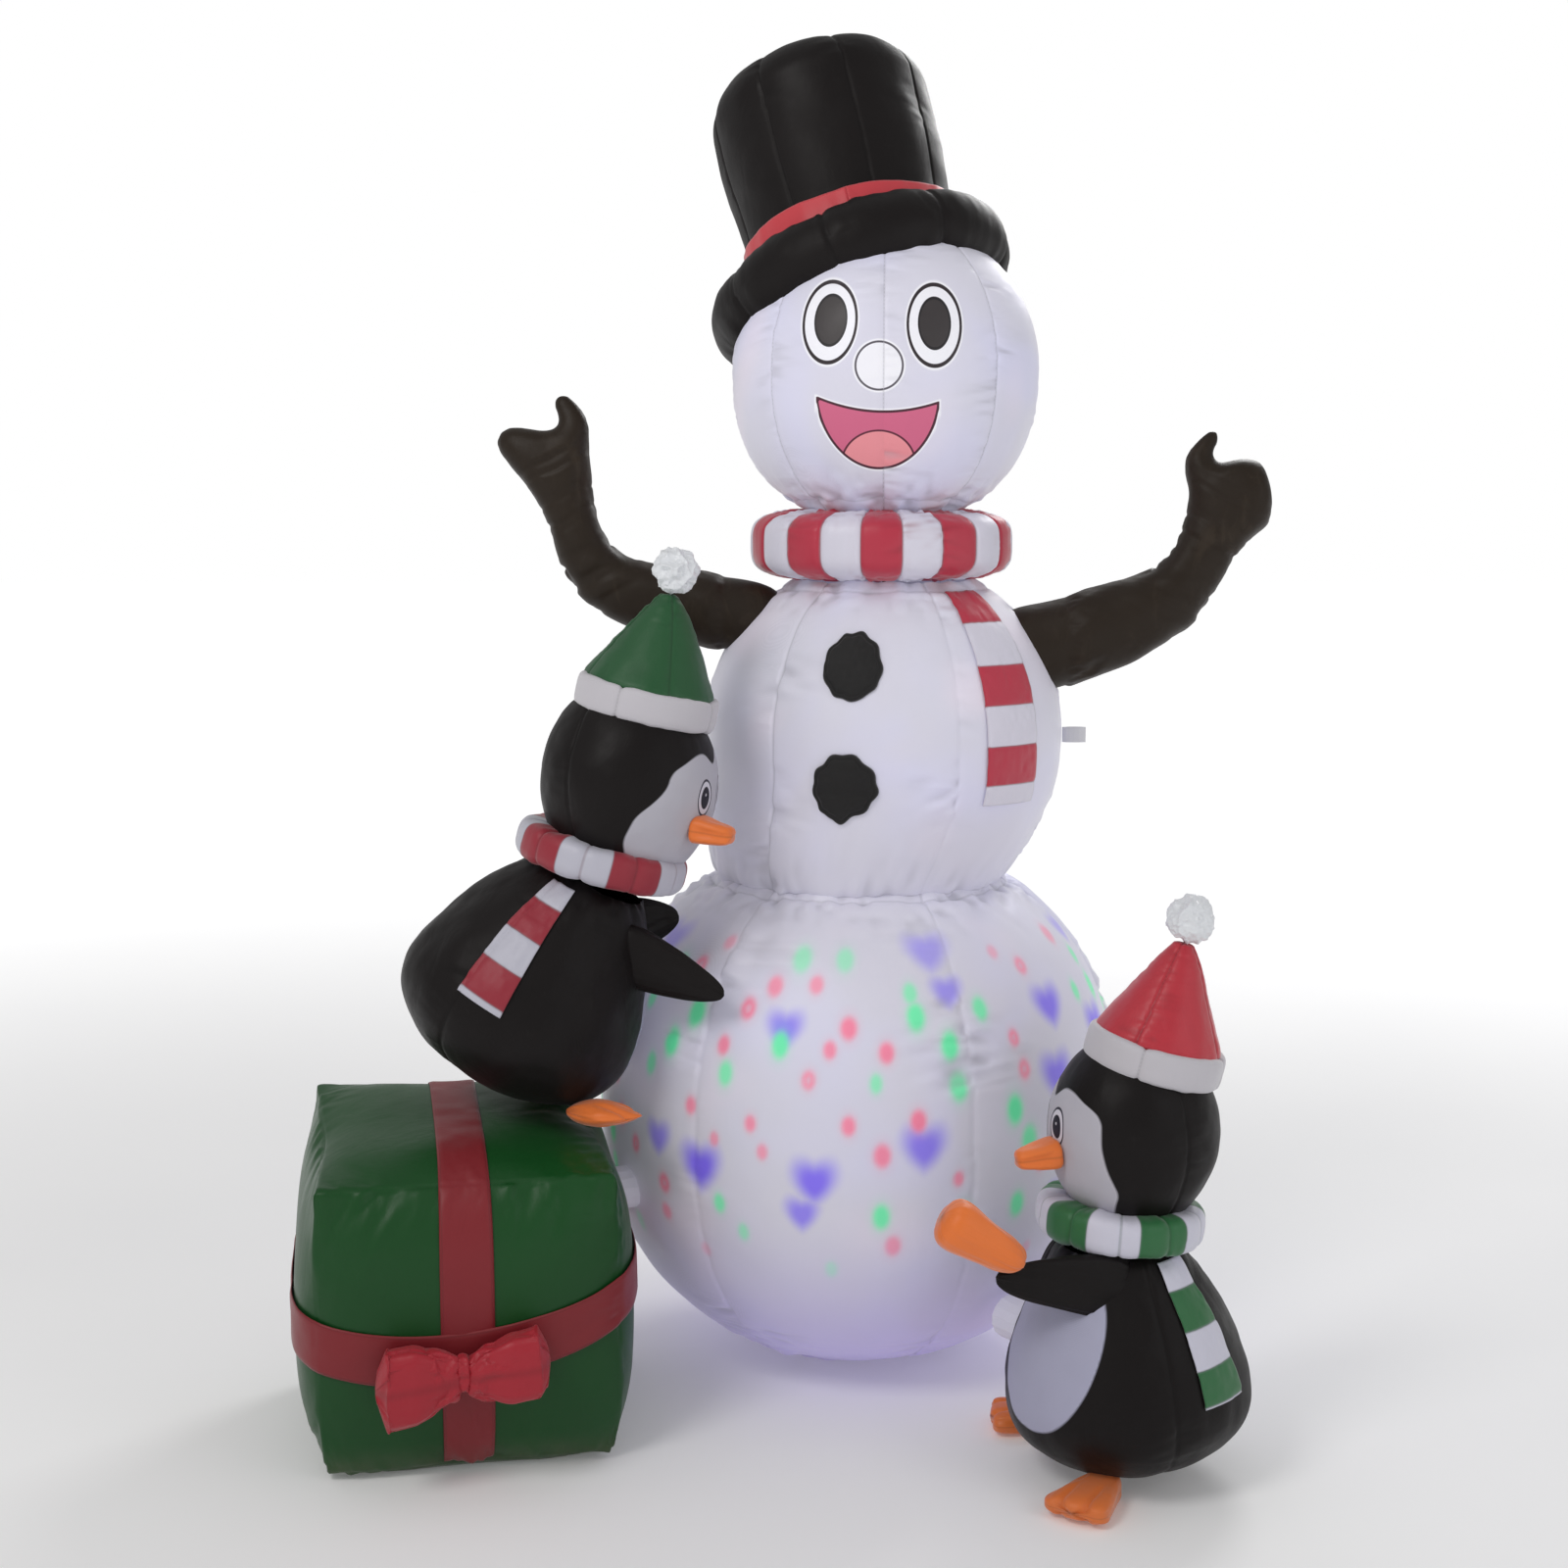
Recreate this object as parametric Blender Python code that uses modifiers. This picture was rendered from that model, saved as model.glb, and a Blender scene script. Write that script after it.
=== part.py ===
"""Inflatable yard snowman with its gift box and two penguins, an assembly of sewn air chambers.

Metres, +Z up, origin on the ground under the base ball, front facing -Y. "Left" and "right" are
the viewer's, looking along +Y. Each chamber is a thin cloth shell, open where air passes on to
the next chamber. A blower at the back of the base ball fills them all.
"""
import math

import bmesh
import bpy
from mathutils import Matrix, Vector

# ---- driving dimensions ----
GAP = 0.0004
CLOTH = 0.002
MERGE = 0.0001
BALL_SEGMENTS = 24
ROLL_SEGMENTS = 14
BIRD_SEGMENTS = 16
BLOWER_SEGMENTS = 20

BASE_RADIUS = 0.487
BASE_CENTRE_Z = 0.479
WAIST_Z = 0.900
TORSO_RADIUS = 0.333
TORSO_CENTRE_Z = 1.173
TORSO_REACH_DOWN = 0.48
NECK_Z = 1.443
COLLAR_RADIUS = 0.242
COLLAR_HEIGHT = 0.152
HEAD_RADIUS = 0.282
HEAD_CENTRE_Z = 1.831
LEAN = 0.045             # the torso and head stand this far to the right of the base ball

HAT_LEAN_LEFT = math.radians(13.5)
HAT_LEAN_BACK = math.radians(19.0)
HAT_RISE = 0.150         # brim centre above the head centre, along the hat's axis
BRIM_RING = 0.238
BRIM_TUBE = 0.046
CROWN_RADIUS = 0.197
CROWN_HEIGHT = 0.464
BAND_HEIGHT = 0.075

GIFT_CENTRE = Vector((-0.702, -0.388, 0.264))
GIFT_HALF = 0.283
GIFT_YAW = math.radians(11.0)
GIFT_POWER = 7.5
GIFT_RISE = 0.11         # the lid climbs towards the back
RIBBON_WIDTH = 0.086
RIBBON_THICK = 0.003

SCARF_TUBE = 0.034       # half the thickness of a penguin's rolled scarf

BLOWER_Z = 0.128
BLOWER_RADIUS = 0.080
BLOWER_FRONT_Y = 0.300
BLOWER_BACK_Y = 0.420
IMPELLER_RADIUS = 0.056
IMPELLER_BLADES = 7

LAMP_RADIUS = 0.044
LAMP_DOME_Z = 0.036

HUB_SHIFT = Vector((0.030, 0.020, 0.0))  # the floor's facets meet here, so the origin is inside one

ZIP_ARC_RADIUS = 0.7516  # the meridian's own curve at the back of the base ball
ZIP_ARC_HALF = math.radians(13.0)


# ---- small tools ----
def clear_scene():
    for item in list(bpy.data.objects):
        bpy.data.objects.remove(item, do_unlink=True)


def new_collection(name):
    group = bpy.data.collections.new(name)
    bpy.context.scene.collection.children.link(group)
    return group


def finish(name, colour, roughness=0.7, metallic=0.0):
    """One Principled material."""
    made = bpy.data.materials.new(name)
    made.use_nodes = True
    shader = made.node_tree.nodes["Principled BSDF"]
    shader.inputs["Base Color"].default_value = (*colour, 1.0)
    shader.inputs["Roughness"].default_value = roughness
    shader.inputs["Metallic"].default_value = metallic
    made.diffuse_color = (*colour, 1.0)
    return made


def add_piece(name, mesh, colour_name, place=None):
    piece = bpy.data.objects.new(name, mesh)
    PARTS.objects.link(piece)
    own = FINISHES[colour_name].copy()
    own.name = name
    mesh.materials.clear()
    mesh.materials.append(own)
    if place is not None:
        piece.matrix_world = place
    return piece


def bake(piece):
    """Apply the piece's modifiers."""
    bpy.context.view_layer.update()
    graph = bpy.context.evaluated_depsgraph_get()
    mesh = bpy.data.meshes.new_from_object(piece.evaluated_get(graph))
    piece.modifiers.clear()
    piece.data = mesh
    return piece


def thicken(piece, wall=CLOTH, offset=-1.0):
    shell = piece.modifiers.new("Cloth", "SOLIDIFY")
    shell.thickness = wall
    shell.offset = offset
    shell.use_even_offset = True
    return piece


def smooth(piece):
    piece.data.shade_smooth()
    return piece


def turned(name, profile, segments, colour_name, place=None, wall=None):
    """Turn (radius, height) points about Z. With a wall, an open line becomes a shell; wall 0 leaves it bare."""
    closed = wall is None and profile[0][0] > 0 and profile[-1][0] > 0
    count = len(profile)
    edges = [(i, i + 1) for i in range(count - 1)]
    if closed:
        edges.append((count - 1, 0))
    mesh = bpy.data.meshes.new(name)
    mesh.from_pydata([(r, 0.0, z) for r, z in profile], edges, [])
    piece = add_piece(name, mesh, colour_name, place)
    screw = piece.modifiers.new("Turn", "SCREW")
    screw.steps = segments
    screw.render_steps = segments
    screw.use_merge_vertices = True
    screw.merge_threshold = MERGE
    if wall:
        thicken(piece, wall)
    return piece


def closed_mesh(name, bm):
    """A mesh of the closed bmesh, with its faces pointing out."""
    bmesh.ops.recalc_face_normals(bm, faces=bm.faces)
    if bm.calc_volume(signed=True) < 0:
        bmesh.ops.reverse_faces(bm, faces=bm.faces)
    mesh = bpy.data.meshes.new(name)
    bm.to_mesh(mesh)
    bm.free()
    return mesh


def shaped(name, bm, colour_name, shape, place=None):
    """Move each vertex of a bmesh primitive by a formula and make a piece of it."""
    for vert in bm.verts:
        vert.co = shape(vert.co)
    return smooth(add_piece(name, closed_mesh(name, bm), colour_name, place))


def pillow(name, colour_name, shape, place=None, segments=16, rings=8):
    """A closed soft form from a unit sphere."""
    bm = bmesh.new()
    bmesh.ops.create_uvsphere(bm, u_segments=segments, v_segments=rings, radius=1.0)
    return shaped(name, bm, colour_name, shape, place)


def patch(name, colour_name, point, columns, rows, wall):
    """A sheet laid along point(u, v, height), u and v from 0 to 1."""
    bm = bmesh.new()
    bmesh.ops.create_grid(bm, x_segments=columns, y_segments=rows, size=0.5)
    layers = bmesh.ops.duplicate(bm, geom=bm.verts[:] + bm.edges[:] + bm.faces[:])
    upper = {item for item in layers["geom"] if isinstance(item, bmesh.types.BMVert)}
    lower_faces = [face for face in bm.faces if face.verts[0] not in upper]
    bmesh.ops.reverse_faces(bm, faces=lower_faces)
    rims = [edge for edge in bm.edges if edge.is_boundary]
    bmesh.ops.bridge_loops(bm, edges=rims)
    for vert in bm.verts:
        height = wall if vert in upper else 0.0
        vert.co = point(vert.co.x + 0.5, vert.co.y + 0.5, height)
    return smooth(add_piece(name, closed_mesh(name, bm), colour_name))


def aligned(place, direction, up=Vector((0.0, 1.0, 0.0))):
    """A frame at place whose Z runs along direction."""
    z_axis = Vector(direction).normalized()
    x_axis = Vector(up).cross(z_axis).normalized()
    y_axis = z_axis.cross(x_axis)
    turn = Matrix((x_axis, y_axis, z_axis)).transposed().to_4x4()
    return Matrix.Translation(place) @ turn


def rod_cutter(start, end, radius, segments=16):
    """A round cutter from start to end."""
    start, end = Vector(start), Vector(end)
    bm = bmesh.new()
    bmesh.ops.create_cone(bm, cap_ends=True, segments=segments, radius1=radius, radius2=radius,
                          depth=(end - start).length)
    mesh = bpy.data.meshes.new("cutter")
    bm.to_mesh(mesh)
    bm.free()
    cutter = bpy.data.objects.new("cutter", mesh)
    CUTTERS.objects.link(cutter)
    cutter.matrix_world = aligned((start + end) / 2, end - start, Vector((0.31, 0.2, 0.93)))
    cutter.hide_render = True
    cutter.display_type = "WIRE"
    return cutter


def combine(piece, other, operation="DIFFERENCE"):
    step = piece.modifiers.new("Cut", "BOOLEAN")
    step.operation = operation
    step.solver = "EXACT"
    step.object = other
    return piece


def unite(piece, others):
    """Join other pieces to this one, as one body, and drop them."""
    for other in others:
        combine(piece, other, "UNION")
    bake(piece)
    for other in others:
        bpy.data.objects.remove(other, do_unlink=True)
    return piece


def spaced(low, high, steps):
    """Heights from high to low, closer together near both ends."""
    return [high + (low - high) * (1 - math.cos(math.pi * i / steps)) / 2 for i in range(steps + 1)]


def puff(radius, half_height, power, rise):
    """Radius of a puffed ball at a height above its centre."""
    level = min(1.0, abs(rise / half_height))
    return radius * (1.0 - level ** power) ** (1.0 / power)


def route(points, count):
    """Points along one smooth curve through the given ones."""
    stops = [Vector(p) for p in points]
    stops = [2 * stops[0] - stops[1]] + stops + [2 * stops[-1] - stops[-2]]
    spans = len(stops) - 3
    line = []
    for i in range(count):
        along = spans * i / (count - 1)
        k = min(int(along), spans - 1)
        t = along - k
        a, b, c, d = stops[k:k + 4]
        line.append(0.5 * (2 * b + (c - a) * t + (2 * a - 5 * b + 4 * c - d) * t ** 2
                           + (3 * b - a - 3 * c + d) * t ** 3))
    return line


# ---- the snowman ----
def axis_x(z):
    """The figure's upright axis, which steps to the right above the waist."""
    t = min(1.0, max(0.0, (z - 0.86) / 0.26))
    return LEAN * t * t * (3 - 2 * t)


def base_radius(z):
    rise = z - BASE_CENTRE_Z
    return puff(BASE_RADIUS, BASE_RADIUS, 2.3 if rise > 0 else 2.2, rise)


def torso_radius(z):
    rise = z - TORSO_CENTRE_Z
    return puff(TORSO_RADIUS, TORSO_RADIUS if rise > 0 else TORSO_REACH_DOWN, 2.0, rise)


def on_torso(azimuth, z, lift):
    """A point off the torso's cloth; azimuth is measured from the front towards the right."""
    reach = torso_radius(z) + lift
    return Vector((axis_x(z) + reach * math.sin(azimuth), -reach * math.cos(azimuth), z))


def make_base_ball():
    profile = [(base_radius(z), z) for z in spaced(0.0, WAIST_Z, 11)]
    profile.append((0.0, 0.0))
    ball = turned("base_ball", profile, BALL_SEGMENTS, "white", wall=CLOTH)
    combine(ball, rod_cutter((0, 0.15, BLOWER_Z), (0, 0.60, BLOWER_Z), BLOWER_RADIUS + 0.0100, 24))
    combine(ball, rod_cutter(GIFT_DUCT[0], GIFT_DUCT[1], 0.0400))
    combine(ball, rod_cutter(PENGUIN_DUCT[0], PENGUIN_DUCT[1], 0.0400))
    bake(ball)
    for vert in ball.data.vertices:
        if vert.co.xy.length < MERGE and vert.co.z < WAIST_Z / 2:
            vert.co -= HUB_SHIFT
    return smooth(ball)


def make_torso():
    profile = [(torso_radius(z), z) for z in spaced(WAIST_Z + GAP, NECK_Z, 7)]
    torso = bake(turned("torso_ball", profile, BALL_SEGMENTS, "white", wall=0))
    for vert in torso.data.vertices:
        vert.co.x += axis_x(vert.co.z)
    thicken(torso)
    for start, end in ((ARM_LEFT[0], ARM_LEFT[1]), (ARM_RIGHT[0], ARM_RIGHT[1])):
        inward = Vector(start[:3]) - (Vector(end[:3]) - Vector(start[:3])).normalized() * 0.12
        combine(torso, rod_cutter(inward, Vector(end[:3]), 0.020, 12))
    return smooth(bake(torso))


def make_collar():
    bottom = NECK_Z + GAP
    middle = bottom + COLLAR_HEIGHT / 2
    top = bottom + COLLAR_HEIGHT
    profile = [(puff(COLLAR_RADIUS, 0.6 * COLLAR_HEIGHT, 2.2, z - middle), z)
               for z in spaced(bottom, top, 4)]
    return smooth(turned("scarf_collar", profile, BALL_SEGMENTS, "scarf red",
                         Matrix.Translation((LEAN, 0, 0)), wall=CLOTH))


def make_head():
    bottom = NECK_Z + COLLAR_HEIGHT + 2 * GAP
    profile = [(puff(HEAD_RADIUS, HEAD_RADIUS, 2.0, z - HEAD_CENTRE_Z), z)
               for z in spaced(bottom, HEAD_CENTRE_Z + 0.266, 8)]
    head = turned("head_ball", profile, BALL_SEGMENTS, "white", Matrix.Translation((LEAN, 0, 0)),
                  wall=CLOTH)
    under_brim = Vector((0, 0, -BRIM_TUBE - GAP))
    combine(head, rod_cutter(hat_frame() @ under_brim, hat_frame() @ Vector((0, 0, 0.3)), 0.35))
    return smooth(bake(head))


def hat_frame():
    """The hat's own frame: origin at the brim's centre, Z up the crown."""
    turn = Matrix.Rotation(-HAT_LEAN_LEFT, 4, "Y") @ Matrix.Rotation(-HAT_LEAN_BACK, 4, "X")
    head = Matrix.Translation((LEAN, 0, HEAD_CENTRE_Z))
    return head @ turn @ Matrix.Translation((0, 0, HAT_RISE))


def roll(name, ring, tube, squash, segments, steps, colour_name, place):
    """A padded roll sewn along its open inner side: a C-shaped ring of cloth."""
    opening = math.radians(38)
    profile = []
    for i in range(steps + 1):
        turn = math.pi - opening - (2 * math.pi - 2 * opening) * i / steps
        profile.append((ring + tube * math.cos(turn), squash * tube * math.sin(turn)))
    return smooth(turned(name, profile, segments, colour_name, place, wall=CLOTH))


def make_hat():
    place = hat_frame()
    roll("hat_brim", BRIM_RING, BRIM_TUBE, 1.0, BALL_SEGMENTS, 7, "hat black", place)
    band_low = 0.052
    band_high = band_low + BAND_HEIGHT
    band = [(CROWN_RADIUS + 0.004, band_high), (CROWN_RADIUS + 0.007, (band_low + band_high) / 2),
            (CROWN_RADIUS + 0.006, band_low)]
    smooth(turned("hat_band", band, BALL_SEGMENTS, "band red", place, wall=CLOTH))
    profile = [(0.0, CROWN_HEIGHT)]
    corner = 0.085
    for i in range(1, 4):
        turn = math.radians(90 - 30 * i)
        profile.append((CROWN_RADIUS + 0.012 - corner * (1 - math.cos(turn)),
                        CROWN_HEIGHT - corner * (1 - math.sin(turn))))
    profile.append((CROWN_RADIUS + 0.010, band_high + 0.12))
    profile.append((CROWN_RADIUS - 0.001, band_high + 0.01))
    profile.append((CROWN_RADIUS - 0.002, band_low + 0.002))
    smooth(turned("hat_crown", profile, BALL_SEGMENTS, "hat black", place, wall=CLOTH))


# Each stick arm: a chain of (x, y, z, radius) from inside the shoulder to the finger, then the thumb.
ARM_LEFT = ((-0.215, -0.030, 1.392, 0.066), (-0.420, -0.035, 1.425, 0.061),
            (-0.492, -0.040, 1.472, 0.057), (-0.518, -0.040, 1.570, 0.044),
            (-0.535, -0.040, 1.640, 0.052), (-0.592, -0.040, 1.676, 0.046),
            (-0.638, -0.040, 1.688, 0.029), (-0.519, -0.040, 1.730, 0.024),
            (-0.541, -0.040, 1.769, 0.011))
ARM_RIGHT = ((0.300, -0.030, 1.322, 0.098), (0.500, -0.035, 1.378, 0.071),
             (0.590, -0.040, 1.432, 0.061), (0.622, -0.040, 1.510, 0.046),
             (0.652, -0.040, 1.585, 0.054), (0.705, -0.040, 1.602, 0.073),
             (0.735, -0.040, 1.605, 0.061), (0.600, -0.040, 1.662, 0.027),
             (0.640, -0.040, 1.712, 0.010))


def torso_cutter():
    """The torso as one solid, a hair larger, to shape what is sewn onto it."""
    profile = [(torso_radius(z) + 0.0008, z) for z in spaced(WAIST_Z, NECK_Z, 7)]
    cutter = turned("cutter", [(0, NECK_Z)] + profile + [(0, WAIST_Z)], BALL_SEGMENTS, "white")
    bake(cutter)
    for vert in cutter.data.vertices:
        vert.co.x += axis_x(vert.co.z)
    PARTS.objects.unlink(cutter)
    CUTTERS.objects.link(cutter)
    cutter.hide_render = True
    cutter.display_type = "WIRE"
    return cutter


def make_arm(name, chain):
    """A stick arm: one tube that bends at the elbow and forks into finger and thumb."""
    mesh = bpy.data.meshes.new(name)
    links = [(0, 1), (1, 2), (2, 3), (3, 4), (4, 5), (5, 6), (4, 7), (7, 8)]
    mesh.from_pydata([stop[:3] for stop in chain], links, [])
    arm = add_piece(name, mesh, "stick brown")
    arm.modifiers.new("Tube", "SKIN")
    for i, stop in enumerate(chain):
        arm.data.skin_vertices[0].data[i].radius = (stop[3], stop[3])
        arm.data.skin_vertices[0].data[i].use_root = i == 0
    round_off = arm.modifiers.new("Round", "SUBSURF")
    round_off.levels = 1
    round_off.render_levels = 1
    combine(arm, torso_cutter())
    return smooth(bake(arm))


def make_button(name, azimuth, z, radius):
    """A stuffed disc that follows the torso."""
    def shape(co):
        z_here = z + radius * co.y
        reach = radius * co.x / TORSO_RADIUS
        return on_torso(azimuth + reach, z_here, 0.0040 + 0.0030 * (co.z + 1.0))
    return pillow(name, "button black", shape, None, 16, 6)


def make_scarf_tail():
    top, bottom, azimuth, half = 1.438, 1.068, math.radians(41.0), 0.062

    def point(u, v, height):
        z = bottom + (top - bottom) * v
        sway = math.radians(1.0) * (v - 0.5)
        return on_torso(azimuth - sway + (2 * u - 1) * half / TORSO_RADIUS, z, 0.0030 + height)
    return patch("scarf_tail", "scarf red", point, 4, 10, 0.006)


def make_tab(name, azimuth, z):
    """A tether loop: folded webbing, long way out from the cloth, with its hole upright."""
    half = 0.014
    outer, inner, stretch, reach = 0.0085, 0.0068, 2.6, 0.0235
    centre = on_torso(azimuth, z, reach)
    frame = Matrix.Translation(centre) @ Matrix.Rotation(azimuth - math.pi / 2, 4, "Z")
    frame = frame @ Matrix.Diagonal((stretch, 1.0, 1.0, 1.0))
    ring = ((outer, half), (outer, -half), (inner, -half), (inner, half))
    return smooth(bake(turned(name, ring, 16, "webbing", frame)))


# ---- gift box ----
def on_gift(direction, lift=0.0):
    """A point on the puffed box, or lifted off it, in world space."""
    d = Vector(direction)
    size = sum(abs(c) ** GIFT_POWER for c in d) ** (1.0 / GIFT_POWER)
    p = d / size * (GIFT_HALF + lift)
    if p.z > 0:
        p.z *= 1.0 + GIFT_RISE * p.y / GIFT_HALF
    p.z = max(p.z, -GIFT_CENTRE.z)
    return Matrix.Translation(GIFT_CENTRE) @ Matrix.Rotation(GIFT_YAW, 4, "Z") @ p


def make_gift():
    bm = bmesh.new()
    bmesh.ops.create_cube(bm, size=2.0)
    bmesh.ops.subdivide_edges(bm, edges=bm.edges[:], cuts=4, use_grid_fill=True)
    box = shaped("gift_box", bm, "gift green", lambda co: on_gift(
        Vector([math.sin(c * math.pi / 4) / math.sin(math.pi / 4) for c in co])))
    thicken(box)
    combine(box, rod_cutter(GIFT_DUCT[0], GIFT_DUCT[1], 0.0400))
    combine(box, rod_cutter(on_gift((0.2, 0.1, 0.6)), on_gift((0.2, 0.1, 2)) + Vector((0, 0, 0.2)), 0.03))
    return smooth(bake(box))


def make_ribbons():
    half = 0.5 * RIBBON_WIDTH / GIFT_HALF

    def corner(turn):
        """The two coordinates of a box outline, with points closest together at its corners."""
        c, s = math.cos(turn), math.sin(turn)
        power = 2.0 / GIFT_POWER
        return math.copysign(abs(c) ** power, c), math.copysign(abs(s) ** power, s)

    def upright(u, v, height):
        y, z = corner(math.radians(-40) + math.radians(260) * v)
        return on_gift((((2 * u - 1) * half - 0.02), -y, z), 0.0040 + height)

    def level(u, v, height):
        y, x = corner(math.radians(1) + math.radians(358) * v)
        sag = -0.14 + 0.06 * x * x + 0.05 * (y + 1.0)
        return on_gift((x, y, (2 * u - 1) * half + sag), 0.0050 + RIBBON_THICK + height)
    patch("ribbon_upright", "ribbon red", upright, 2, 34, RIBBON_THICK)
    patch("ribbon_level", "ribbon red", level, 2, 40, RIBBON_THICK)


def make_bow():
    """Two puffed loops and a knot on the front of the box."""
    front = Matrix.Rotation(GIFT_YAW, 4, "Z")
    knot_at = on_gift((-0.05, -1, -0.17), 0.048)

    def loop(side):
        def shape(co):
            reach = side * 0.5 * (1 + co.x)
            spread = 0.35 + 0.65 * min(1.0, 1.25 * abs(reach))
            p = Vector((reach * 0.122 + side * 0.016, co.y * 0.030 * spread, co.z * 0.062 * spread))
            p.z += -0.006 + side * 0.020 * reach * side
            return front @ p
        return shape
    for name, side in (("bow_loop_left", -1), ("bow_loop_right", 1)):
        pillow(name, "bow red", loop(side), Matrix.Translation(knot_at))
    pillow("bow_knot", "bow red",
           lambda co: front @ Vector((co.x * 0.0135, co.y * 0.030, co.z * 0.030)),
           Matrix.Translation(knot_at), 10, 6)


# ---- penguins ----
class Penguin:
    """Places of one penguin: its foot point, neck, head, hat and the way it faces."""

    def __init__(self, name, foot, neck, head, head_radius, body_radius, facing, leans, colours):
        self.name = name
        self.foot = Vector(foot)
        self.neck = Vector(neck)
        self.head = Vector(head)
        self.head_radius = head_radius
        self.body_radius = body_radius
        self.facing = math.radians(facing)
        self.hat_lean, self.scarf_lean = (math.radians(lean) for lean in leans)
        self.hat_colour, self.scarf_colour = colours

    def front(self, turn=0.0):
        """The level direction the penguin faces, turned by an angle seen from above."""
        angle = self.facing + math.radians(turn)
        return Vector((math.cos(angle), math.sin(angle), 0.0))

    def hat_frame(self):
        """Origin at the middle of the hat's cuff, Z up the cone."""
        lean = Matrix.Rotation(self.hat_lean, 4, "Y")
        rise = Matrix.Translation((0, 0, 0.92 * self.head_radius))
        return Matrix.Translation(self.head) @ lean @ rise

    def scarf_frame(self):
        """Origin at the middle of the scarf ring, Z up the neck."""
        lean = Matrix.Rotation(self.scarf_lean, 4, "Y")
        return Matrix.Translation(self.neck) @ lean @ Matrix.Translation((0, 0, SCARF_TUBE + 0.003))

    def body_frame(self):
        return aligned(self.foot, self.neck - self.foot)

    def body_line(self, t):
        """Body radius at a share t of the way from the foot point to the neck."""
        widest, throat = 0.34, 0.096
        if t < widest:
            return self.body_radius * math.sqrt(max(0.0, 1 - ((widest - t) / widest) ** 2.3))
        s = (t - widest) / (1 - widest)
        return throat + (self.body_radius - throat) * (1 - s ** 1.7)

    def on_body(self, direction, t, lift):
        """A point off the body on the side that a level direction points to."""
        frame = self.body_frame()
        local = frame.to_3x3().inverted() @ direction
        local.z = 0
        local.normalize()
        height = (self.neck - self.foot).length * t
        return frame @ (local * (self.body_line(t) + lift) + Vector((0, 0, height)))


SITTING = Penguin("p1", foot=(-0.672, -0.320, 0.600), neck=(-0.466, -0.330, 0.955),
                  head=(-0.408, -0.330, 1.118), head_radius=0.154, body_radius=0.216,
                  facing=-30, leans=(13, 16), colours=("hat green", "scarf red"))
STANDING = Penguin("p2", foot=(0.438, -0.600, 0.012), neck=(0.410, -0.600, 0.395),
                   head=(0.432, -0.600, 0.578), head_radius=0.140, body_radius=0.203,
                   facing=197, leans=(14, 4), colours=("hat red", "scarf green"))


def make_penguin_body(bird):
    length = (bird.neck - bird.foot).length
    steps = 7
    profile = []
    for i in range(steps + 1):
        t = 0.5 * (1 + math.cos(math.pi * i / steps))
        profile.append((bird.body_line(t), t * length))
    profile[-1] = (0.028, 0.002)
    body = turned(bird.name + "_body", profile, BIRD_SEGMENTS, "penguin black", bird.body_frame(), wall=CLOTH)
    scarf = bird.scarf_frame()
    low_plane = scarf @ Vector((0, 0, -SCARF_TUBE - GAP))
    combine(body, rod_cutter(low_plane, scarf @ Vector((0, 0, 0.2)), 0.17))
    if bird is STANDING:
        combine(body, rod_cutter(PENGUIN_DUCT[0], PENGUIN_DUCT[1], 0.0400))
    return smooth(bake(body))


def make_penguin_head(bird):
    radius = bird.head_radius
    tall = 1.16 * radius
    profile = [(puff(radius, tall, 2.0, z), z) for z in spaced(-0.85 * radius, 1.04 * radius, 6)]
    head = turned(bird.name + "_head", profile, BIRD_SEGMENTS, "penguin black",
                  Matrix.Translation(bird.head), wall=CLOTH)
    hat = bird.hat_frame()
    scarf = bird.scarf_frame()
    combine(head, rod_cutter(hat @ Vector((0, 0, -0.0280)), hat @ Vector((0, 0, 0.2)), 0.2))
    combine(head, rod_cutter(scarf @ Vector((0, 0, SCARF_TUBE + GAP)), scarf @ Vector((0, 0, -0.2)), 0.2))
    smooth(bake(head))


def make_penguin_beak(bird, drop):
    def shape(co):
        reach = 0.5 * (1 + co.x)
        width = 0.030 * (1 - 0.55 * reach)
        return Vector((reach * 0.070, co.y * width, co.z * width * 0.80 - 0.008 * reach))
    reach = puff(bird.head_radius, 1.16 * bird.head_radius, 2.0, drop) + 0.002
    out = bird.head + bird.front() * reach + Vector((0, 0, drop))
    place = Matrix.Translation(out) @ Matrix.Rotation(bird.facing, 4, "Z")
    pillow(bird.name + "_beak", "penguin orange", shape, place, 12, 6)


def make_penguin_flipper(bird, name, turn, t, aim, length):
    """A flat, rounded flipper that stands off the body towards aim."""
    root = bird.on_body(bird.front(turn), t, 0.004)
    away = Vector(aim).normalized()
    frame = aligned(root, away, Vector((0, 0, 1)))

    def shape(co):
        reach = 0.5 * (1 + co.z)
        width = 0.050 * (1 - 0.52 * reach)
        return Vector((co.x * 0.018, co.y * width, reach * length + 0.012))
    pillow(bird.name + name, "penguin black", shape, frame, 12, 8)


def make_penguin_feet(bird, places):
    for name, (x, y, z, turn) in places.items():
        def shape(co):
            spread = 1.0 + 0.35 * co.x
            return Vector((co.x * 0.062, co.y * 0.044 * spread, 0.017 + co.z * 0.017))
        place = Matrix.Translation((x, y, z)) @ Matrix.Rotation(math.radians(turn), 4, "Z")
        pillow(bird.name + name, "penguin orange", shape, place, 14, 6)


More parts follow.
